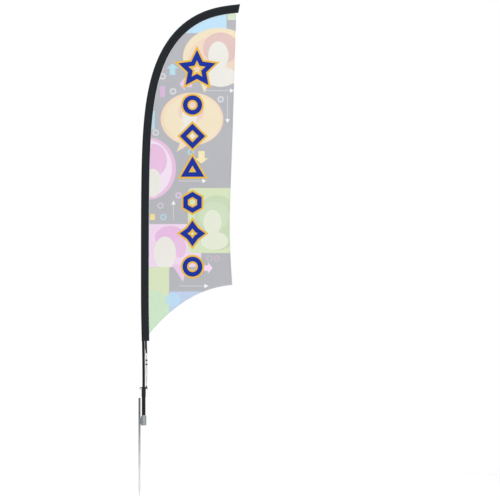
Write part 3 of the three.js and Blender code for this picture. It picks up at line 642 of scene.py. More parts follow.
def lay_ground(art):
    """The pale picture behind the symbols: speech bubbles, blocks, cogs and arrows on grey.
    Places and sizes are in metres, X before Z."""
    sky = tone(197, 231, 252)
    leaf = tone(222, 234, 197)
    cream = tone(246, 231, 200)
    blush = tone(243, 216, 201)
    rose = tone(240, 200, 232)
    lilac = tone(250, 232, 250)
    bone = tone(241, 239, 232)
    cyan = tone(188, 226, 240)
    white = tone(232, 233, 238)
    # head of the flag
    art.block(0.16, 0.497, 2.354, 2.56, sky)
    art.block(0.503, 0.60, 2.432, 2.56, tone(218, 232, 207))
    art.oval(0.452, 2.210, 0.216, 0.174, cream)
    art.wedge((0.365, 1.997), (0.405, 2.075), (0.325, 2.09), tone(245, 232, 190))
    art.oval(0.455, 2.195, 0.188, 0.146, blush, 0.7)
    art.sitter(0.462, 2.215, 0.17, tone(232, 201, 196), bone)
    art.block_arrow(0.173, 2.135, (0, 1), 0.066, cyan)
    art.block_arrow(0.254, 2.048, (-1, 0), 0.072, tone(238, 208, 244))
    art.block(0.098, 0.128, 1.970, 2.036, tone(222, 190, 225))
    art.line_arrow((0.374, 2.008), (0.518, 2.008))
    art.line_arrow((0.503, 1.976), (0.503, 1.838))
    # second bubble
    art.oval(0.290, 1.838, 0.188, 0.158, tone(249, 224, 196))
    art.wedge((0.197, 1.640), (0.275, 1.688), (0.225, 1.712), tone(248, 226, 198))
    art.oval(0.296, 1.836, 0.172, 0.142, tone(247, 233, 203))
    art.sitter(0.285, 1.850, 0.125, tone(245, 214, 204), bone)
    art.block(0.04, 0.066, 1.775, 1.885, cyan)
    # pink bubble behind the pole side
    art.oval(0.026, 1.541, 0.168, 0.187, tone(238, 200, 230))
    art.oval(0.020, 1.541, 0.150, 0.172, lilac)
    art.oval(0.060, 1.590, 0.080, 0.098, rose)
    art.oval(0.055, 1.455, 0.052, 0.085, bone)
    art.block_arrow(0.347, 1.610, (0, -1), 0.072, tone(252, 238, 190))
    art.line_arrow((0.212, 1.466), (0.352, 1.466))
    art.line_arrow((0.179, 1.232), (0.179, 1.325))
    art.block(0.038, 0.068, 1.232, 1.268, tone(250, 228, 160))
    # lower bubbles and blocks
    art.block(-0.10, 0.345, 0.950, 1.208, tone(246, 222, 244), 0.05)
    art.wedge((0.236, 0.860), (0.262, 0.965), (0.170, 0.965), tone(240, 208, 238))
    art.oval(0.160, 1.128, 0.092, 0.068, tone(239, 194, 233))
    art.oval(0.215, 1.068, 0.040, 0.062, tone(239, 200, 233))
    art.oval(0.128, 1.035, 0.066, 0.098, bone)
    art.block(0.265, 0.70, 1.034, 1.424, leaf, 0.028)
    art.oval(0.440, 1.215, 0.140, 0.165, tone(207, 224, 190))
    art.sitter(0.425, 1.215, 0.15, tone(214, 229, 198), tone(234, 240, 220))
    art.block(-0.10, 0.153, 0.40, 0.950, leaf)
    art.oval(0.060, 0.640, 0.110, 0.170, tone(208, 236, 208), 0.8)
    art.block(0.156, 0.60, 0.40, 0.803, tone(197, 214, 241))
    art.oval(0.175, 0.755, 0.045, 0.040, tone(192, 228, 250), 0.8)
    art.block_arrow(0.380, 0.944, (1, 0), 0.062, tone(250, 222, 248))
    art.line_arrow((0.215, 0.836), (0.364, 0.836))
    # cogs
    cogs = [
        (0.114, 2.094, white), (0.176, 2.004, white), (0.462, 1.956, white), (0.073, 1.756, white),
        (0.209, 1.380, tone(236, 208, 244)), (0.101, 1.318, tone(226, 205, 228)),
        (0.283, 1.639, cyan), (0.118, 1.249, cyan),
        (0.394, 1.001, tone(206, 196, 206)), (0.439, 1.001, tone(212, 192, 200)),
    ]
    for x, z, colour in cogs:
        art.lay(art.gear(x, z, COG_RADIUS), colour, 0.8)


def printed_cloth():
    """Knitted polyester with its printed picture, and an unprinted strip along the sleeve seam."""
    grey = tone(187, 188, 193)
    look = Look("printed_cloth", grey, 0.85, sheen_weight=0.04, specular_ior_level=0.2)
    point = look.object_point()
    cloud = look.noise(point, 5, 3)
    art = Print(look, look.mix(cloud, tone(184, 185, 190), tone(190, 191, 196)))
    lay_ground(art)
    lay_symbols(art)
    margin = look.attribute("margin")
    printed = look.mix(margin, art.colour, tone(240, 242, 247))
    knit = cloth_grain(look, 1000, 60)
    shaded = look.mix(look.spread(knit, 0.35, 0.65, 0.07, 0), printed, tone(120, 120, 126))
    look.feed("Base Color", shaded)
    look.roughen(look.noise(point, 300, 2), 0.74, 0.9)
    look.emboss(knit, 0.15 * MM)
    return look


def liner_fabric():
    look = Look("liner_fabric", tone(58, 59, 63), 0.9)
    weave = cloth_grain(look, 900, 90)
    look.paint(look.spread(weave, 0.35, 0.65, 0, 1), tone(48, 49, 53), tone(68, 69, 73))
    look.roughen(weave, 0.95, 0.82, 0.35, 0.65)
    look.emboss(weave, 0.08 * MM)
    return look


LOOKS = {
    "galvanised_steel": galvanised("galvanised_steel", tone(138, 145, 148), tone(176, 183, 186)),
    "rod": rod_steel(),
    "bright_steel": turned_steel("bright_steel", tone(190, 193, 196), 0.28),
    "bearing_steel": turned_steel("bearing_steel", tone(205, 207, 209), 0.16),
    "cage_brass": brass(),
    "black_aluminium": anodised(),
    "black_fibreglass": fibreglass(),
    "black_plastic": moulded("black_plastic", tone(28, 29, 32), tone(46, 47, 50), 0.55, 1500),
    "black_rubber": moulded("black_rubber", tone(28, 28, 30), tone(44, 44, 46), 0.78, 900),
    "sleeve_fabric": sleeve_fabric(),
    "black_webbing": webbing(),
    "printed_cloth": printed_cloth(),
    "liner_fabric": liner_fabric(),
    "white_plastic": moulded(
        "white_plastic", tone(236, 236, 238), tone(216, 216, 214), 0.38, 1200, shine=0.5
    ),
    "white_elastic": braid(),
    "black_thread": thread("black_thread", tone(48, 51, 57), tone(92, 95, 102)),
    "grey_thread": thread("grey_thread", tone(170, 171, 176), tone(226, 227, 231)),
}


# ---- meshes ------------------------------------------------------------------------------------

X_AXIS = np.array([1.0, 0, 0])
Y_AXIS = np.array([0, 1.0, 0])

# pitch, length, half width and rise of a stitch
TIP_STITCH = (3.3 * MM, 2.6 * MM, 0.38 * MM, 0.35 * MM)
SLEEVE_STITCH = (3.3 * MM, 2.6 * MM, 0.38 * MM, 0.42 * MM)
TACK_STITCH = (1.9 * MM, 1.8 * MM, 0.28 * MM, 0.3 * MM)
HEM_STITCH = (3.6 * MM, 2.8 * MM, 0.3 * MM, 0.28 * MM)


def finish_piece(mesh, body, slot, *stands_for, look=None):
    """Links a mesh as a piece of the flag that rides on a body and has the mesh's name."""
    piece = bpy.data.objects.new(mesh.name, mesh)
    bpy.context.scene.collection.objects.link(piece)
    mesh.materials.clear()
    mesh.materials.append(LOOKS[look or slot].material)
    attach(piece, body)
    if stands_for:
        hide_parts(*stands_for)
    return piece


@contextmanager
def edited(mesh):
    """A mesh as a bmesh, which is written back at the end."""
    bm = bmesh.new()
    bm.from_mesh(mesh)
    yield bm
    bm.to_mesh(mesh)
    bm.free()


def shade(mesh, sharp_degrees):
    """Smooth shading that keeps edges sharper than an angle."""
    mesh.shade_smooth()
    mesh.set_sharp_from_angle(angle=math.radians(sharp_degrees))


def lengths(points):
    """Running length along a line of points, from 0."""
    steps = np.linalg.norm(np.diff(points, axis=0), axis=1)
    return np.concatenate([[0], np.cumsum(steps)])


def grid_mesh(name, points, loop_rows=False, caps=None, values=None, sharp=35):
    """A skin over rows of points, each row a closed ring, with a UV map in metres.
    A value per point goes to a named attribute."""
    rows, cols = points.shape[:2]
    row = np.arange(rows if loop_rows else rows - 1)
    i, j = (axis.ravel() for axis in np.meshgrid(row, np.arange(cols), indexing="ij"))
    at_row = np.stack([i, i, i + 1, i + 1], 1)
    at_col = np.stack([j, j + 1, j + 1, j], 1)
    quads = (at_row % rows) * cols + at_col % cols
    around = lengths(np.concatenate([points[rows // 2], points[rows // 2][:1]]))
    middle = points.mean(axis=1)
    along = lengths(np.concatenate([middle, middle[:1]]))
    uvs = np.stack([around[at_col], along[at_row]], -1).reshape(-1, 2)
    faces = quads.tolist()
    ends = (0, (rows - 1) * cols)
    if caps == "flat":
        faces += [list(range(cols))[::-1], list(range(ends[1], ends[1] + cols))]
    if caps == "strip":
        for base in ends:
            for k in range(cols // 2 - 1):
                faces.append([base + k, base + k + 1, base + cols - 2 - k, base + cols - 1 - k])
    corners = sum(len(face) for face in faces[len(quads):])
    uvs = np.concatenate([uvs, np.zeros((corners, 2))])
    mesh = bpy.data.meshes.new(name)
    mesh.from_pydata(points.reshape(-1, 3).tolist(), [], faces)
    layer = mesh.uv_layers.new(name="surface")
    layer.data.foreach_set("uv", uvs.astype(np.float32).ravel())
    for key, value in (values or {}).items():
        spot = mesh.attributes.new(key, "FLOAT", "POINT")
        spot.data.foreach_set("value", np.asarray(value, np.float32).ravel())
    outward(mesh)
    shade(mesh, sharp)
    return mesh


def outward(mesh):
    """Merges points that coincide and turns the faces outwards."""
    with edited(mesh) as bm:
        bmesh.ops.remove_doubles(bm, verts=bm.verts, dist=TINY)
        bmesh.ops.recalc_face_normals(bm, faces=bm.faces)


def softened(profile, radius):
    """A closed profile whose corners are rounded by about a radius."""
    points = [np.array(p, float) for p in profile]
    out = []
    for k, corner in enumerate(points):
        before, after = points[k - 1], points[(k + 1) % len(points)]
        back, ahead = before - corner, after - corner
        reach = min(radius, np.linalg.norm(back) / 2.2, np.linalg.norm(ahead) / 2.2)
        if corner[0] < TINY or reach < TINY:
            out.append(corner)
            continue
        first = corner + back / np.linalg.norm(back) * reach
        last = corner + ahead / np.linalg.norm(ahead) * reach
        for t in (0, 0.33, 0.67, 1):
            out.append((1 - t) ** 2 * first + 2 * t * (1 - t) * corner + t * t * last)
    return np.array(out)


def lathe(name, profile, centre_x=0.0, sides=64, edge=0.4 * MM):
    """Turns a closed profile of (radius, height) points about an upright axis."""
    curve = softened(profile, edge)
    turn = np.linspace(0, 2 * math.pi, sides, endpoint=False)
    radius = curve[:, 0:1]
    level = np.broadcast_to(curve[:, 1:2], (len(curve), sides))
    points = np.stack([centre_x + radius * np.cos(turn), radius * np.sin(turn), level], -1)
    return grid_mesh(name, points, loop_rows=True, sharp=40)


def tube_points(path, up, radius, sides, looped=False):
    """Rings of points about a path. The first point of each ring faces the up direction."""
    path = np.asarray(path, float)
    if looped:
        ahead = np.roll(path, -1, 0) - np.roll(path, 1, 0)
    else:
        ahead = np.gradient(path, axis=0)
    ahead /= np.linalg.norm(ahead, axis=1)[:, None]
    first = up - ahead * (ahead @ up)[:, None]
    first /= np.linalg.norm(first, axis=1)[:, None]
    second = np.cross(ahead, first)
    turn = np.linspace(0, 2 * math.pi, sides, endpoint=False)[None, :, None]
    radius = np.broadcast_to(radius, len(path))[:, None, None]
    return path[:, None] + radius * (np.cos(turn) * first[:, None] + np.sin(turn) * second[:, None])


def resampled(path, step, looped=False):
    """The same line with points a step apart, on smooth curves between the given ones."""
    path = np.asarray(path, float)
    if looped:
        path = np.concatenate([path, path[:1]])
        ends = np.concatenate([path[-2:-1], path, path[1:2]])
    else:
        ends = np.concatenate([[2 * path[0] - path[1]], path, [2 * path[-1] - path[-2]]])
    run = lengths(path)
    slopes = (ends[2:] - ends[:-2]) / np.linalg.norm(ends[2:] - ends[:-2], axis=1)[:, None]
    wanted = np.linspace(0, run[-1], max(int(run[-1] / step), 8), endpoint=not looped)
    k = np.clip(np.searchsorted(run, wanted, side="right") - 1, 0, len(path) - 2)
    gap = (run[k + 1] - run[k])[:, None]
    t = (wanted - run[k])[:, None] / gap
    return (
        (2 * t**3 - 3 * t**2 + 1) * path[k]
        + (t**3 - 2 * t**2 + t) * gap * slopes[k]
        + (3 * t**2 - 2 * t**3) * path[k + 1]
        + (t**3 - t**2) * gap * slopes[k + 1]
    )


EDGE_ANGLE = 50


def refined(node, name, width, segments=2):
    """A CAD node's own shape with its sharp edges rounded, as a new mesh."""
    mesh = frame["nodes"][node].data.copy()
    outward(mesh)
    donor = bpy.data.objects.new(name + "_donor", mesh)
    bpy.context.scene.collection.objects.link(donor)
    bevel = donor.modifiers.new("edges", "BEVEL")
    bevel.width = width
    bevel.segments = segments
    bevel.limit_method = "ANGLE"
    bevel.angle_limit = math.radians(EDGE_ANGLE)
    bevel.use_clamp_overlap = True
    seen = donor.evaluated_get(bpy.context.evaluated_depsgraph_get())
    made = bpy.data.meshes.new_from_object(seen)
    made.name = name
    bpy.data.objects.remove(donor)
    with edited(made) as bm:
        bmesh.ops.remove_doubles(bm, verts=bm.verts, dist=0.002 * MM)
        bmesh.ops.dissolve_degenerate(bm, edges=bm.edges, dist=0.001 * MM)
        bmesh.ops.recalc_face_normals(bm, faces=bm.faces)
    shade(made, EDGE_ANGLE)
    return made


def stitched(line, face, stitch):
    """A row of thread stitches along a line on a face of the cloth, -1 front or 1 back.
    Each is a slim bead that stands out of it."""
    pitch, length, half_width, rise = stitch
    run = lengths(line)
    spots = np.arange(pitch / 2, run[-1], pitch)

    def at(where):
        return np.stack([np.interp(where, run, line[:, k]) for k in range(3)], -1)

    start, middle, end = (at(spots + shift) for shift in (-length / 2, 0, length / 2))
    out = face * Y_AXIS
    ahead = end - start
    ahead /= np.linalg.norm(ahead, axis=1)[:, None]
    side = np.cross(ahead, out)
    ring = [side * half_width, out * rise, -side * half_width, -out * rise * 0.4]
    points = np.stack([start, *[middle + part for part in ring], end], 1)
    first = (np.arange(len(spots)) * 6)[:, None, None]
    near = [[0, 1 + k, 1 + (k + 1) % 4] for k in range(4)]
    far = [[5, 1 + (k + 1) % 4, 1 + k] for k in range(4)]
    return points.reshape(-1, 3), (first + np.array([near + far])).reshape(-1, 3)


def merged_mesh(name, parts):
    """One mesh from several (points, faces) parts."""
    points, faces, count = [], [], 0
    for part_points, part_faces in parts:
        points.append(part_points)
        faces.append(part_faces + count)
        count += len(part_points)
    mesh = bpy.data.meshes.new(name)
    mesh.from_pydata(np.concatenate(points).tolist(), [], np.concatenate(faces).tolist())
    outward(mesh)
    mesh.shade_smooth()
    return mesh


# ---- ground spike ------------------------------------------------------------------------------


def radius_of(node):
    """Half the Y width of a node that is round about an upright axis."""
    low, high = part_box(node)
    return (high.y - low.y) / 2


def bore_of(node):
    """The smallest distance from the upright axis to a node's points."""
    return min(math.hypot(v.co.x, v.co.y) for v in frame["nodes"][node].data.vertices)


HOUSING_WALL = 3 * MM
HOUSING_FLOOR = 4 * MM
GROOVE_DEPTH = 0.9 * MM
SHOULDER_STEP = 2 * MM
FIT_GAP = 0.3 * MM
LIP_GROOVE = 0.7 * MM
BEAD = 1.5 * MM
BEAD_RIPPLE = 2.4 * MM


def make_ground_spike():
    low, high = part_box("spike_rod")
    rod_x = (low.x + high.x) / 2
    rod = radius_of("spike_rod")
    outline = [
        (0, low.z), (0.8 * MM, low.z), (0.55 * rod, low.z + 20 * MM), (0.86 * rod, low.z + 34 * MM),
        (rod, low.z + 44 * MM), (rod, high.z - 2.2 * MM), (rod - 0.5 * MM, high.z - 0.8 * MM),
        (rod - 1.4 * MM, high.z), (0, high.z),
    ]
    shaft = lathe("spike_shaft", outline, rod_x, 48, 1.2 * MM)
    finish_piece(shaft, "ground_spike", "galvanised_steel", "spike_rod", look="rod")

    housing = radius_of("bearing_housing")
    top = height("bearing_housing", 1)
    bore = housing - HOUSING_WALL
    stop = bore - SHOULDER_STEP
    shoulder = height("outer_race_lower", 0)
    groove = bore + GROOVE_DEPTH
    clip_low, clip_high = height("circlip", 0), height("circlip", 1) + FIT_GAP
    profile = [
        (0, 0), (housing - 1.2 * MM, 0), (housing, 1.2 * MM), (housing, top - 1.0 * MM),
        (housing - 1.0 * MM, top), (bore, top), (bore, clip_high), (groove, clip_high),
        (groove, clip_low), (bore, clip_low), (bore, shoulder), (stop, shoulder),
        (stop, HOUSING_FLOOR), (0, HOUSING_FLOOR),
    ]
    cup = lathe("housing_cup", profile, 0, 72, 0.5 * MM)
    finish_piece(cup, "ground_spike", "galvanised_steel", "bearing_housing")

    plate = refined("weld_web", "web_plate", 0.5 * MM)
    finish_piece(plate, "ground_spike", "galvanised_steel", "weld_web")
    make_weld_beads(rod_x, rod, housing)

    seal_low, seal_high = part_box("dust_cap")
    inner = bore_of("dust_cap")
    outer = (seal_high.x - seal_low.x) / 2
    mid = (inner + outer) / 2
    lip = [
        (inner, seal_low.z), (outer, seal_low.z), (outer, seal_high.z),
        (mid + 0.8 * MM, seal_high.z), (mid + 0.4 * MM, seal_high.z - LIP_GROOVE),
        (mid - 0.4 * MM, seal_high.z - LIP_GROOVE), (mid - 0.8 * MM, seal_high.z),
        (inner, seal_high.z),
    ]
    seal = lathe("dust_seal", lip, 0, 64, 0.25 * MM)
    finish_piece(seal, "ground_spike", "black_rubber", "dust_cap")


def make_weld_beads(rod_x, rod, housing):
    """Four rippled fillet welds in the corners between the web plate, the rod and the housing."""
    low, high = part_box("weld_web")
    half = high.y
    parts = []
    levels = np.arange(low.z + 1.0 * MM, high.z - 0.5 * MM, 0.5 * MM)
    for centre_x, radius, way in ((rod_x, rod, 1), (0.0, housing, -1)):
        corner_x = centre_x + way * math.sqrt(radius**2 - half**2)
        for side in (-1, 1):
            x = corner_x + way * 0.35 * BEAD
            y = side * (half + 0.25 * BEAD)
            path = np.stack([np.full_like(levels, x), np.full_like(levels, y), levels], -1)
            ripple = 1 + 0.13 * np.abs(np.sin(levels / BEAD_RIPPLE * math.pi))
            ends = np.sqrt(np.clip(1 - np.linspace(-1, 1, len(levels)) ** 12, 0.02, 1))
            rings = tube_points(path, X_AXIS, BEAD * ripple * ends, 10)
            mesh = grid_mesh("bead", rings, caps="flat")
            faces = [list(p.vertices) for p in mesh.polygons]
            tris = [[f[0], f[k], f[k + 1]] for f in faces for k in range(1, len(f) - 1)]
            parts.append((np.array([v.co for v in mesh.vertices]), np.array(tris)))
            bpy.data.meshes.remove(mesh)
    beads = merged_mesh("weld_beads", parts)
    finish_piece(beads, "ground_spike", "galvanised_steel")


def make_spindle():
    flange_low = height("dust_cap", 1) + 1 * MM
    flange_high = height("base_tube", 0)
    top = height("spindle", 1)
    flange = radius_of("spindle")
    peg = bore_of("base_tube") - FIT_GAP
    journal = bore_of("inner_race_lower") - FIT_GAP
    shoulder = bore_of("dust_cap") - FIT_GAP
    foot, step = height("spindle", 0), height("inner_race_upper", 1)
    profile = [
        (0, foot), (journal, foot), (journal, step), (shoulder, step), (shoulder, flange_low),
        (flange, flange_low), (flange, flange_high), (peg, flange_high), (peg, top - 2 * MM),
        (peg - 2 * MM, top), (0, top),
    ]
    turned = lathe("spindle_turned", profile, 0, 64, 0.35 * MM)
    finish_piece(turned, "spindle", "bright_steel", "spindle")


def make_balls():
    """Each ball's facets are split and pushed out to its true sphere."""
    for level in ("lower", "upper"):
        for k in range(1, 8):
            node = f"ball_{level}_{k}"
            low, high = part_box(node)
            centre = (low + high) / 2
            radius = (high.z - low.z) / 2
            mesh = frame["nodes"][node].data.copy()
            mesh.name = f"bearing_{node}"
            with edited(mesh) as bm:
                bmesh.ops.remove_doubles(bm, verts=bm.verts, dist=TINY)
                bmesh.ops.subdivide_edges(bm, edges=bm.edges, cuts=1, use_grid_fill=True)
                for vert in bm.verts:
                    vert.co = centre + (vert.co - centre).normalized() * radius
            mesh.shade_smooth()
            finish_piece(mesh, f"{level}_cage", "bearing_steel", node)


# ---- pole, base tube, collar -------------------------------------------------------------------

POLE_WALL = 1.5 * MM
POLE_EDGE = 0.4 * MM
POLE_SECTIONS = [
    ("lower_pole", 8 * MM, height("lower_pole", 0), 1000 * MM),
    ("middle_pole", 6.4 * MM, 1000 * MM, 1900 * MM),
    ("top_pole", 4.8 * MM, 1900 * MM, POLE_ARC - 27.3 * MM),
]


def make_pole():
    low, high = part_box("base_tube")
    bore = bore_of("base_tube")
    outer = radius_of("base_tube")
    profile = [(bore, low.z), (outer, low.z), (outer, high.z), (bore, high.z)]
    tube = lathe("base_tube_drawn", profile, 0, 72, 0.5 * MM)
    finish_piece(tube, "pole", "black_aluminium", "base_tube")

    collar = refined("hook_collar", "collar_moulded", 0.45 * MM, 3)
    finish_piece(collar, "pole", "black_plastic", "hook_collar")

    for node, radius, start, end in POLE_SECTIONS:
        plain = np.linspace(start + POLE_EDGE, end - POLE_EDGE, int((end - start) / (8 * MM)))
        path = place(0.0, 0.0, np.concatenate([[start], plain, [end]]))
        taper = np.concatenate([[POLE_EDGE], np.zeros(len(plain)), [POLE_EDGE]])
        outside = tube_points(path, Y_AXIS, radius - taper, 32)
        inside = tube_points(path, Y_AXIS, radius - POLE_WALL, 32)
        rows = np.concatenate([outside, inside[::-1]])
        pole = grid_mesh(f"{node}_wrapped", rows, loop_rows=True, sharp=45)
        finish_piece(pole, "pole", "black_fibreglass", node)


# ---- ring, elastic, grip and crimps ------------------------------------------------------------

RING_WIRE = 1.5 * MM
RING_HALF_WIDTH = 7 * MM
RING_HALF_HEIGHT = 8.5 * MM
RING_CORNER = 2 * MM
RING_ACROSS = 17.3 * MM
RING_ARC = 426 * MM
ELASTIC = 2 * MM
GRIP = 3.3 * MM
SEAT_GAP = 0.3 * MM
HOOK_WIDTH = 5 * MM
HOOK_MOUTH = 16.4 * MM
GRIP_TOP_ARC = height("cord_grip", 1)
HOOK_UNDER = GRIP_TOP_ARC - 12.5 * MM
GRIP_ROOM = GRIP + SEAT_GAP
CRIMPED_FROM = 360 * MM
CRIMPED_TO = 396 * MM
RING_LOW = RING_ARC - RING_HALF_HEIGHT
RING_HIGH = RING_ARC + RING_HALF_HEIGHT
STRAND_HALF = ELASTIC + SEAT_GAP + 0.5 * MM
OVER_RING = RING_WIRE + SEAT_GAP + ELASTIC
UNDER_HOOK = HOOK_WIDTH / 2 + GRIP_ROOM


def strand(arc, side):
    """One side of the elastic. The two lie side by side at the crimps, and a quarter turn from
    that at the hook and the ring."""
    lower = smooth(arc, GRIP_TOP_ARC + 2 * MM, CRIMPED_FROM)
    upper = smooth(arc, CRIMPED_TO, RING_LOW)
    across = HOOK_MOUTH + (RING_ACROSS - HOOK_MOUTH) * lower
    below = UNDER_HOOK + (STRAND_HALF - UNDER_HOOK) * lower
    above = STRAND_HALF + (OVER_RING - STRAND_HALF) * upper
    reach = np.where(arc < CRIMPED_TO, below, above)
    turn = math.pi / 2 * (1 - lower + upper)
    return place(across + side * reach * np.cos(turn), side * reach * np.sin(turn), arc)


def hook_run(side):
    """Half of the run under the hook's arm, from its middle to one strand."""
    turn = np.linspace(0, math.pi / 2, 5)
    y = side * (HOOK_WIDTH / 2 + GRIP_ROOM * np.sin(turn))
    bend = place(HOOK_MOUTH, y, HOOK_UNDER - GRIP_ROOM * np.cos(turn))
    return np.concatenate([place([HOOK_MOUTH], 0.0, HOOK_UNDER - GRIP_ROOM), bend])


def elastic_path():
    arcs = np.concatenate([
        [GRIP_TOP_ARC - 2 * MM],
        np.linspace(GRIP_TOP_ARC + 2 * MM, CRIMPED_FROM, 10),
        np.linspace(CRIMPED_TO, RING_LOW, 5)[:-1],
    ])
    turn = np.linspace(0, math.pi, 7)
    over = place(RING_ACROSS, OVER_RING * np.cos(turn), RING_LOW + OVER_RING * np.sin(turn))
    return np.concatenate([
        hook_run(1), strand(arcs, 1), over, strand(arcs[::-1], -1), hook_run(-1)[1:][::-1],
    ])


def make_tensioner():
    """The ring, the elastic looped through it, and the grip and crimps on the elastic."""
    corners = []
    for k, (across, along) in enumerate([(1, 1), (-1, 1), (-1, -1), (1, -1)]):
        turn = math.pi / 2 * (k + np.linspace(0, 1, 7))
        corners.append(place(
            RING_ACROSS + across * (RING_HALF_WIDTH - RING_CORNER) + RING_CORNER * np.cos(turn),
            0.0,
            RING_ARC + along * (RING_HALF_HEIGHT - RING_CORNER) + RING_CORNER * np.sin(turn),
        ))
    rings = tube_points(np.concatenate(corners), Y_AXIS, RING_WIRE, 20, looped=True)
    ring = grid_mesh("ring_moulded", rings, loop_rows=True, sharp=60)
    finish_piece(ring, "pole", "white_plastic", "tension_ring")

    path = resampled(elastic_path(), 1.2 * MM, looped=True)
    skin = tube_points(path, X_AXIS, ELASTIC, 20, looped=True)
    cord = grid_mesh("elastic_braid", skin, loop_rows=True, sharp=80)
    finish_piece(cord, "pole", "white_elastic", "elastic_loop")

    legs = np.array([[HOOK_MOUTH, UNDER_HOOK, GRIP_TOP_ARC]])
    line = np.concatenate([legs * [1, -1, 1], hook_run(-1)[1:][::-1], hook_run(1), legs])
    line = resampled(line, 1.0 * MM)
    outside = tube_points(line, X_AXIS, GRIP, 24)
    inside = tube_points(line, X_AXIS, ELASTIC + SEAT_GAP / 2, 24)
    rows = np.concatenate([outside, inside[::-1]])
    grip = grid_mesh("grip_tube", rows, loop_rows=True, sharp=45)
    finish_piece(grip, "pole", "black_rubber", "cord_grip")

    for node in ("crimp_upper", "crimp_lower"):
        crimp = refined(node, f"{node}_pressed", 0.35 * MM)
        finish_piece(crimp, "pole", "black_rubber", node)


# ---- sleeve ------------------------------------------------------------------------------------

CLOTH = 0.9 * MM
SLEEVE_FOOT = 506 * MM
SLEEVE_LEAD = 9.7 * MM
WIDTH_FOOT = 46.5 * MM
WIDTH_HEAD = 50.5 * MM
SEAM_WIDTH = 8 * MM
SEAM_HALF = 1.65 * MM
TAB_SHOULDER = (22.3 * MM, 4.75 * MM)
TAB_TOP = SLEEVE_FOOT + 24 * MM
END_SLANT = 0.3
END_FLAT = 1.15 * MM
FLAT_LENGTH = 22 * MM
HEM_FOOT = 12 * MM
FOOT_HEM = 0.45 * MM
REINFORCED = 9 * MM
LAST_LEVEL = POLE_ARC - END_SLANT * WIDTH_HEAD - FLAT_LENGTH
END_ROWS = 8
FRONT_POINTS = 12
SIDE_POINTS = (8, 5, 6)


def sleeve_trail(arc):
    """How far behind the pole's axis the sleeve's sewn edge lies."""
    share = (arc - SLEEVE_FOOT) / (POLE_ARC - SLEEVE_FOOT)
    return WIDTH_FOOT + (WIDTH_HEAD - WIDTH_FOOT) * share - SLEEVE_LEAD


def end_arc(across, offset=0.0):
    """The arc length at which the slanted end lies, at a distance across."""
    return POLE_ARC + offset - END_SLANT * (across + SLEEVE_LEAD)


def tangent(across, half, radius):
    """Where a line from a point touches a circle about the pole's axis, as an angle."""
    return math.atan2(half, across) + math.acos(radius / math.hypot(across, half))


def half_section(arc, cloth):
    """Distances across and half thicknesses from front fold to seam, a cloth's depth inside."""
    trail = sleeve_trail(arc)
    seam = trail - SEAM_WIDTH
    straight = tangent(seam, SEAM_HALF, SLEEVE_LEAD)
    touch = (SLEEVE_LEAD * math.cos(straight), SLEEVE_LEAD * math.sin(straight))
    share = (TAB_SHOULDER[0] - touch[0]) / (seam - touch[0])
    level = touch[1] + (SEAM_HALF - touch[1]) * share
    raised = 1 - smooth(arc, TAB_TOP, TAB_TOP + 60 * MM)
    shoulder = (TAB_SHOULDER[0], level + max(TAB_SHOULDER[1] - level, 0) * raised)
    start = tangent(*shoulder, SLEEVE_LEAD)
    turn = np.linspace(math.pi, start, FRONT_POINTS)
    radius = SLEEVE_LEAD - cloth
    parts = [np.stack([radius * np.cos(turn), radius * np.sin(turn)], -1)]
    leave = (SLEEVE_LEAD * math.cos(start), SLEEVE_LEAD * math.sin(start))
    stops = [leave, shoulder, (seam, SEAM_HALF), (trail, SEAM_HALF)]
    for (xa, ya), (xb, yb), count in zip(stops, stops[1:], SIDE_POINTS):
        t = np.arange(1, count + 1) / count
        parts.append(np.stack([xa + (xb - xa) * t, ya + (yb - ya) * t - cloth], -1))
    return np.concatenate(parts)


def sleeve_rows():
    """The sleeve's levels as arc lengths, each with its share of the way on to the slanted end."""
    arcs = [SLEEVE_FOOT + step for step in (0, 0.3 * MM, HEM_FOOT - 0.4 * MM, HEM_FOOT)]
    arcs += list(np.arange(SLEEVE_FOOT + HEM_FOOT + 5 * MM, LAST_LEVEL, 6 * MM))
    shares = np.linspace(0, 1, END_ROWS + 1)[1:]
    return [(arc, 0.0) for arc in arcs] + [(LAST_LEVEL, share) for share in shares]


PUCKER = 0.22 * MM
PUCKER_PITCH = 24 * MM
PUCKER_DRIFT = 130 * MM
SLACK = 0.5 * MM
SLACK_PITCH = 71 * MM


def puckers(across, arc, trail):
    """Small folds that the seam draws up, and slack where the pole bends most."""
    near = np.exp(-np.abs(across - (trail - SEAM_WIDTH)) / (7 * MM))
    slack = smooth(arc, 1700 * MM, 2500 * MM) * smooth(across, 4 * MM, 20 * MM)
    drift = 1.3 * np.sin(arc / PUCKER_DRIFT)
    small = PUCKER * np.sin(arc / PUCKER_PITCH * 2 * math.pi + drift)
    broad = SLACK * slack * np.sin(arc / SLACK_PITCH * 2 * math.pi)
    return small * near + broad * smooth(trail - across, SEAM_WIDTH, 20 * MM)


def sleeve_point(section, cloth, arc, share):
    """Places a half section at a level, or past LAST_LEVEL at a share of the way to the end."""
    across, half = section[:, 0], section[:, 1]
    if share > 0:
        stop = end_arc(across)
        spots = LAST_LEVEL + (stop - LAST_LEVEL) * share
        flat = smooth(stop - spots, 0, FLAT_LENGTH)
        half = np.maximum(END_FLAT - cloth, 0.2 * MM) * (1 - flat) + half * flat
        half = np.where(section[:, 1] <= TINY, 0, half)
    else:
        spots = np.full_like(across, arc)
    half = half + np.where(half > 1 * MM, puckers(across, spots, sleeve_trail(arc)), 0)
    if arc < SLEEVE_FOOT + HEM_FOOT - 0.2 * MM and cloth == 0:
        half = np.where(half > TINY, half + FOOT_HEM, half)
    return across, half, spots


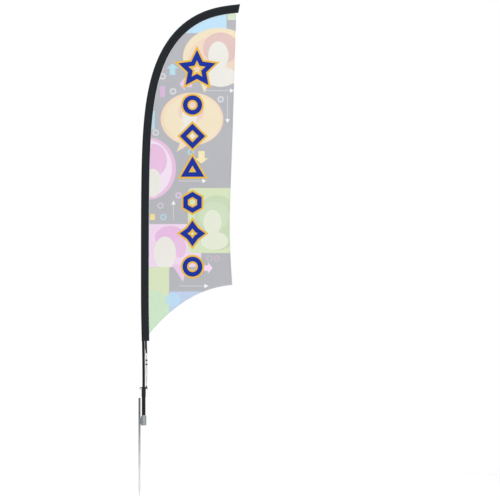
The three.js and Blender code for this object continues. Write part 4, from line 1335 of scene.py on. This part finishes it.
def make_sleeve():
    rows, edges = [], []
    for arc, share in sleeve_rows():
        loop, dark = [], []
        for cloth, order in ((0.0, 1), (CLOTH, -1)):
            section = half_section(arc, cloth)
            across, half, spots = sleeve_point(section, cloth, arc, share)
            near = place(across, -half, spots)
            far = place(across[1:], half[1:], spots[1:])
            # Painted shade: a darkening towards the round front fold and the sewn edge, kept in the
            # edge attribute that the sleeve's colour reads.
            fold = 1 - smooth(across, -SLEEVE_LEAD, -2.5 * MM)
            seam = smooth(across, sleeve_trail(arc) - 3.2 * MM, sleeve_trail(arc))
            shadow = np.maximum(fold, 0.8 * seam)
            loop.append(np.concatenate([near[::-1], far])[::order])
            dark.append(np.concatenate([shadow[::-1], shadow[1:]])[::order])
        rows.append(np.concatenate(loop))
        edges.append(np.concatenate(dark))
    mesh = grid_mesh("sleeve_cloth", np.array(rows), caps="strip", values={"edge": edges}, sharp=50)
    return finish_piece(mesh, "pole", "sleeve_fabric", "pole_sleeve")


def closing(half, to_end):
    """Half the sleeve's thickness near its sewn end, where it closes from its open thickness."""
    opened = smooth(to_end, 0, FLAT_LENGTH)
    return END_FLAT * (1 - opened) + half * opened


BINDING_GAP = SEAT_GAP + 0.1 * MM
BINDING_THICK = 0.8 * MM
THREAD_LIFT = 0.05 * MM


def binding_ring(section, offset, past):
    """The sleeve's section at its slanted end, grown by an offset, past the end by a length."""
    across = section[:, 0]
    half = np.where(section[:, 1] > TINY, closing(section[:, 1], -past) + offset, 0)
    across = np.clip(across, -SLEEVE_LEAD, None) + offset * np.where(across > 0, 1, -1) * 0.8
    spots = end_arc(across, past)
    near = place(across, -half, spots)
    far = place(across[1:-1], half[1:-1], spots[1:-1])
    return np.concatenate([near, far[::-1]])


def make_tip_binding():
    """Webbing folded over the slanted end of the sleeve and sewn through."""
    section = half_section(POLE_ARC - 1 * MM, 0.0)
    closed = np.concatenate([section, [[sleeve_trail(POLE_ARC), 0.0]]])
    outside = BINDING_GAP + BINDING_THICK
    rings = [
        *[(BINDING_GAP, past) for past in (0.2 * MM, -REINFORCED * 0.5, -REINFORCED)],
        *[(outside, past) for past in (-REINFORCED, -REINFORCED * 0.5, 0.3 * MM, 0.9 * MM)],
        (BINDING_GAP + BINDING_THICK * 0.4, 1.1 * MM),
    ]
    rows = np.array([binding_ring(closed, offset, past) for offset, past in rings])
    mesh = grid_mesh("tip_binding", rows, caps="flat", sharp=50)
    parts = []
    across = np.linspace(-SLEEVE_LEAD + 2 * MM, sleeve_trail(POLE_ARC) - 1.5 * MM, 20)
    open_half = np.interp(across, section[:, 0], section[:, 1])
    for past in (-2 * MM, -6.5 * MM):
        half = closing(open_half, -past) + BINDING_GAP + BINDING_THICK + THREAD_LIFT
        for face in (-1, 1):
            line = place(across, face * half, end_arc(across, past))
            parts.append(stitched(line, face, TIP_STITCH))
    sewn = merged_mesh("tip_stitches", parts)
    tip_stitches = finish_piece(sewn, "pole", "black_webbing", look="black_thread")
    return finish_piece(mesh, "pole", "black_webbing", "tip_reinforcement"), tip_stitches


def make_sleeve_stitches():
    """Two rows of black thread through the seam on both faces, and one round the foot hem."""
    parts = []
    arcs = np.arange(SLEEVE_FOOT + 2 * MM, LAST_LEVEL + 9 * MM, 4 * MM)
    section = half_section(SLEEVE_FOOT + HEM_FOOT - 3 * MM, 0.0)[4:]
    for face in (-1, 1):
        for inset in (2.4 * MM, 5.8 * MM):
            across = sleeve_trail(arcs) - inset
            half = closing(SEAM_HALF, end_arc(across) - arcs) + THREAD_LIFT
            parts.append(stitched(place(across, face * half, arcs), face, SLEEVE_STITCH))
        half = section[:, 1] + FOOT_HEM + 0.03 * MM
        hem_line = place(section[:, 0], face * half, SLEEVE_FOOT + HEM_FOOT - 2.5 * MM)
        parts.append(stitched(hem_line, face, SLEEVE_STITCH))
    mesh = merged_mesh("sleeve_stitches", parts)
    return finish_piece(mesh, "pole", "black_webbing", look="black_thread")


# ---- webbing tab -------------------------------------------------------------------------------

TAB_HALF_WIDTH = 5 * MM
TAB_SPREAD = 2.9 * MM
TAB_HALF_THICK = 0.78 * MM
TAB_EDGE = 0.5 * MM
TAB_FOLD = RING_WIRE + SEAT_GAP + 0.8 * MM
TACK_FROM = 444 * MM
TACK_TO = 456 * MM


def make_tab():
    """One length of webbing folded under the ring's top bar, both ends inside the sleeve's foot."""
    turn = np.linspace(math.pi, 2 * math.pi, 13)
    levels = np.linspace(TAB_TOP, RING_HIGH, 24)[:-1]
    run_y = np.full(len(levels), TAB_FOLD)
    y = np.concatenate([-run_y, TAB_FOLD * np.cos(turn), run_y])
    arc = np.concatenate([levels, RING_HIGH + TAB_FOLD * np.sin(turn), levels[::-1]])
    line = np.stack([y, arc], -1)
    ahead = np.gradient(line, axis=0)
    ahead /= np.linalg.norm(ahead, axis=1)[:, None]
    out = np.stack([ahead[:, 1], -ahead[:, 0]], -1)
    wide, thick, edge = TAB_HALF_WIDTH, TAB_HALF_THICK, TAB_EDGE
    rows = []
    for (y0, arc0), (out_y, out_arc) in zip(line, out):
        left = -wide - TAB_SPREAD * smooth(arc0, RING_HIGH + 6 * MM, RING_HIGH + 28 * MM)
        section = [
            (left + edge, -thick), (0, -thick), (wide - edge, -thick), (wide, -thick + edge),
            (wide, thick - edge), (wide - edge, thick), (0, thick), (left + edge, thick),
            (left, thick - edge), (left, -thick + edge),
        ]
        rows.append(np.concatenate([
            place([RING_ACROSS + w], y0 + t * out_y, arc0 + t * out_arc) for w, t in section
        ]))
    strap = grid_mesh("tab_strap", np.array(rows), caps="flat", sharp=60)
    finish_piece(strap, "pole", "black_webbing", "webbing_tab")
    parts = []
    across = RING_ACROSS + np.linspace(-3.8 * MM, 3.8 * MM, 12)
    for face in (-1, 1):
        for level in np.arange(TACK_FROM, TACK_TO, 1.6 * MM):
            row = place(across, face * (TAB_FOLD + 0.8 * MM), level)
            parts.append(stitched(row, face, TACK_STITCH))
    tack = merged_mesh("tab_bar_tack", parts)
    finish_piece(tack, "pole", "black_webbing", look="black_thread")


# ---- cloth panels ------------------------------------------------------------------------------

HEM_ARC = 548 * MM
SEAM_INSERT = 6.5 * MM
PANEL_CLOTH = 0.4 * MM
PLY_STEP = 0.5 * MM
FLY_CORNER = np.array([531, 842]) * MM
FLY_WAIST = np.array([517, 1200]) * MM
FLY_SHOULDER = np.array([553, 2390]) * MM
BASE_HOLLOW = np.array([259, 822]) * MM
HEM_WIDTH = 9 * MM
HEM_RISE = 0.3 * MM
HEM_CREASE = 0.4 * MM
HEM_TURN = 0.55
FULL_HEM_SPAN = 24 * MM
WAVE_HEIGHT = 3.2 * MM
BODY_ROWS = 232
BODY_COLUMNS = 52
SEAM_COLUMNS = np.array([0, 0.8, 2.0, 3.0]) * MM
NO_SPAN = 1e-4
PANEL_TOP_ARC = end_arc(sleeve_trail(POLE_ARC), -REINFORCED - 2 * MM)


def flat_place(across, arc):
    """Points in the cloth's own plane, as X and Z."""
    return place(across, 0.0, arc)[..., [0, 2]]


PANEL_FOOT = flat_place(sleeve_trail(HEM_ARC) + SEAT_GAP, HEM_ARC)
PANEL_HEAD = flat_place(sleeve_trail(PANEL_TOP_ARC) + SEAT_GAP, PANEL_TOP_ARC)


def fly_edge(count):
    """Points from the fly corner up to the head, on a smooth curve through a few knots."""
    knots = [PANEL_HEAD, FLY_SHOULDER, (FLY_SHOULDER + FLY_WAIST) / 2, FLY_WAIST, FLY_CORNER]
    points = []
    for k in range(len(knots) - 1):
        a, b, c, d = (knots[min(max(k + step, 0), len(knots) - 1)] for step in (-1, 0, 1, 2))
        t = np.linspace(0, 1, 40)[:, None]
        start, end = (c - a) / 2, (d - b) / 2
        cubic = (2 * b - 2 * c + start + end) * t**3 + (-3 * b + 3 * c - 2 * start - end) * t**2
        points.append(cubic + start * t + b)
    line = np.concatenate(points)[::-1]
    run = lengths(line)
    wanted = np.linspace(0, run[-1], count) if np.isscalar(count) else count * run[-1]
    return np.stack([np.interp(wanted, run, line[:, k]) for k in (0, 1)], -1)


def base_bulge(share):
    """How far the hollow base lies off the straight line from the seam to the fly corner."""
    t = share[:, None]
    curve = (1 - t) ** 2 * PANEL_FOOT + 2 * t * (1 - t) * BASE_HOLLOW + t**2 * FLY_CORNER
    return curve - ((1 - t) * PANEL_FOOT + t * FLY_CORNER)


def ripple(past_seam, z):
    """How far the cloth stands out of its plane: long soft waves that die out at the sleeve."""
    grow = smooth(past_seam, 0, 0.22)
    slow = 0.65 * np.sin(2 * math.pi * (0.9 * z + 1.3 * past_seam) + 0.6)
    quick = 0.35 * np.sin(2 * math.pi * (2.1 * z - 1.7 * past_seam) + 2.1)
    return WAVE_HEIGHT * grow * (slow + quick)


def panel_grid(inset=False):
    """Rows of points over the panel's outline, from the hollow base to the head. Past the sleeve
    seam the columns are even, and the last ones lie at the hem's edges. Rows start in the seam."""
    body_shares = np.linspace(0.0095, 0.996, BODY_ROWS)
    shares = np.concatenate([[0, 0.0002, 0.0040, 0.0044], body_shares, [1]])
    arcs = HEM_ARC + shares * (PANEL_TOP_ARC - HEM_ARC)
    lead = flat_place(sleeve_trail(arcs) + SEAT_GAP, arcs)
    seam = flat_place(sleeve_trail(arcs) + SEAT_GAP - SEAM_INSERT, arcs)
    fly = fly_edge(shares)
    spans = np.linalg.norm(fly - lead, axis=1)
    points, hems = [], []
    for k, share in enumerate(shares):
        span = max(spans[k], NO_SPAN)
        scale = np.clip(spans[k] / FULL_HEM_SPAN, 0.02, 1)
        hem = HEM_WIDTH * scale
        stops = np.array([hem, hem - HEM_CREASE * scale, HEM_CREASE * scale, 0])
        near_seam = SEAM_COLUMNS * scale / span
        last_plain = 1 - (hem + 4 * MM * scale) / span
        even = np.linspace(near_seam[-1], last_plain, BODY_COLUMNS)[1:]
        across = np.concatenate([near_seam, even, 1 - stops / span])
        row = lead[k] + (fly[k] - lead[k]) * across[:, None]
        row = row + base_bulge(across) * (1 - share) ** 6
        row = np.concatenate([[seam[k]], row])
        on_hem = np.zeros(len(row))
        on_hem[-3:] = (1, 1, HEM_TURN)
        if k < 3:
            on_hem[1:] = 1 if k else HEM_TURN
        points.append(row)
        hems.append(on_hem)
    flat = np.array(points)
    past = np.linalg.norm(flat - flat[:, 1:2], axis=2)
    past[:, 0] = 0
    if inset:
        flat[:, -1] += (flat[:, -2] - flat[:, -1]) * 0.5
    return flat, np.array(hems), past


def ply_mesh(name, near_y, far_y, raise_near, raise_far, inset):
    """A closed thin sheet between two depths. Its hem stands out where it is folded."""
    flat, hems, past = panel_grid(inset)
    wave = ripple(past, flat[:, :, 1])
    near = np.stack([flat[:, :, 0], near_y - hems * raise_near + wave, flat[:, :, 1]], -1)
    far = np.stack([flat[:, :, 0], far_y + hems * raise_far + wave, flat[:, :, 1]], -1)
    rows = np.concatenate([near, far[:, ::-1]], axis=1)
    margin = 1 - smooth(past, 0.8 * MM, 2.4 * MM)
    margins = np.concatenate([margin, margin[:, ::-1]], axis=1)
    return grid_mesh(name, rows, caps="strip", values={"margin": margins}, sharp=50)


def make_panels():
    half = PANEL_CLOTH / 2
    near = -PLY_STEP - half
    plies = [
        ("front_cloth", "front_panel", near, near + PANEL_CLOTH, HEM_RISE, 0, "printed_cloth"),
        ("liner_cloth", "blockout_liner", -half, half, 0, 0, "liner_fabric"),
        ("back_cloth", "back_panel", -near - PANEL_CLOTH, -near, 0, HEM_RISE, "printed_cloth"),
    ]
    made = []
    for name, node, near_y, far_y, raise_near, raise_far, slot in plies:
        inset = slot == "liner_fabric"
        mesh = ply_mesh(name, near_y, far_y, raise_near, raise_far, inset)
        made.append(finish_piece(mesh, "pole", slot, node))
    return made


def make_hem_stitches():
    """A row of pale thread along the fly hem and the base hem, on each face."""
    flat, _, past = panel_grid()
    wave = ripple(past, flat[:, :, 1])
    fly_line = (flat[:, -3] * 0.8 + flat[:, -2] * 0.2)[4:-6]
    base_line = (flat[2] * 0.75 + flat[1] * 0.25)[2:-3]
    y = PLY_STEP + PANEL_CLOTH / 2 + HEM_RISE + 0.03 * MM
    parts = []
    for face in (-1, 1):
        for line, lift in ((fly_line, wave[4:-6, -3]), (base_line, wave[2, 2:-3])):
            spots = np.stack([line[:, 0], lift + face * y, line[:, 1]], -1)
            parts.append(stitched(spots, face, HEM_STITCH))
    mesh = merged_mesh("hem_stitches", parts)
    return finish_piece(mesh, "pole", "printed_cloth", look="grey_thread")


# ---- the rest of the CAD nodes -----------------------------------------------------------------


def dress_frame():
    """Gives every CAD node that still shows the material of its slot."""
    for row in frame["record"]["subparts"]:
        part = frame["nodes"][row["node"]]
        if not part.hide_render:
            part.data.materials.clear()
            part.data.materials.append(LOOKS[row["material_slot"]].material)


make_ground_spike()
make_spindle()
make_balls()
make_pole()
make_tensioner()
sleeve = make_sleeve()
binding, tip_stitches = make_tip_binding()
sleeve_stitches = make_sleeve_stitches()
make_tab()
front, liner, back = make_panels()
hem_stitches = make_hem_stitches()
dress_frame()

panel_outline = panel_grid()[0]
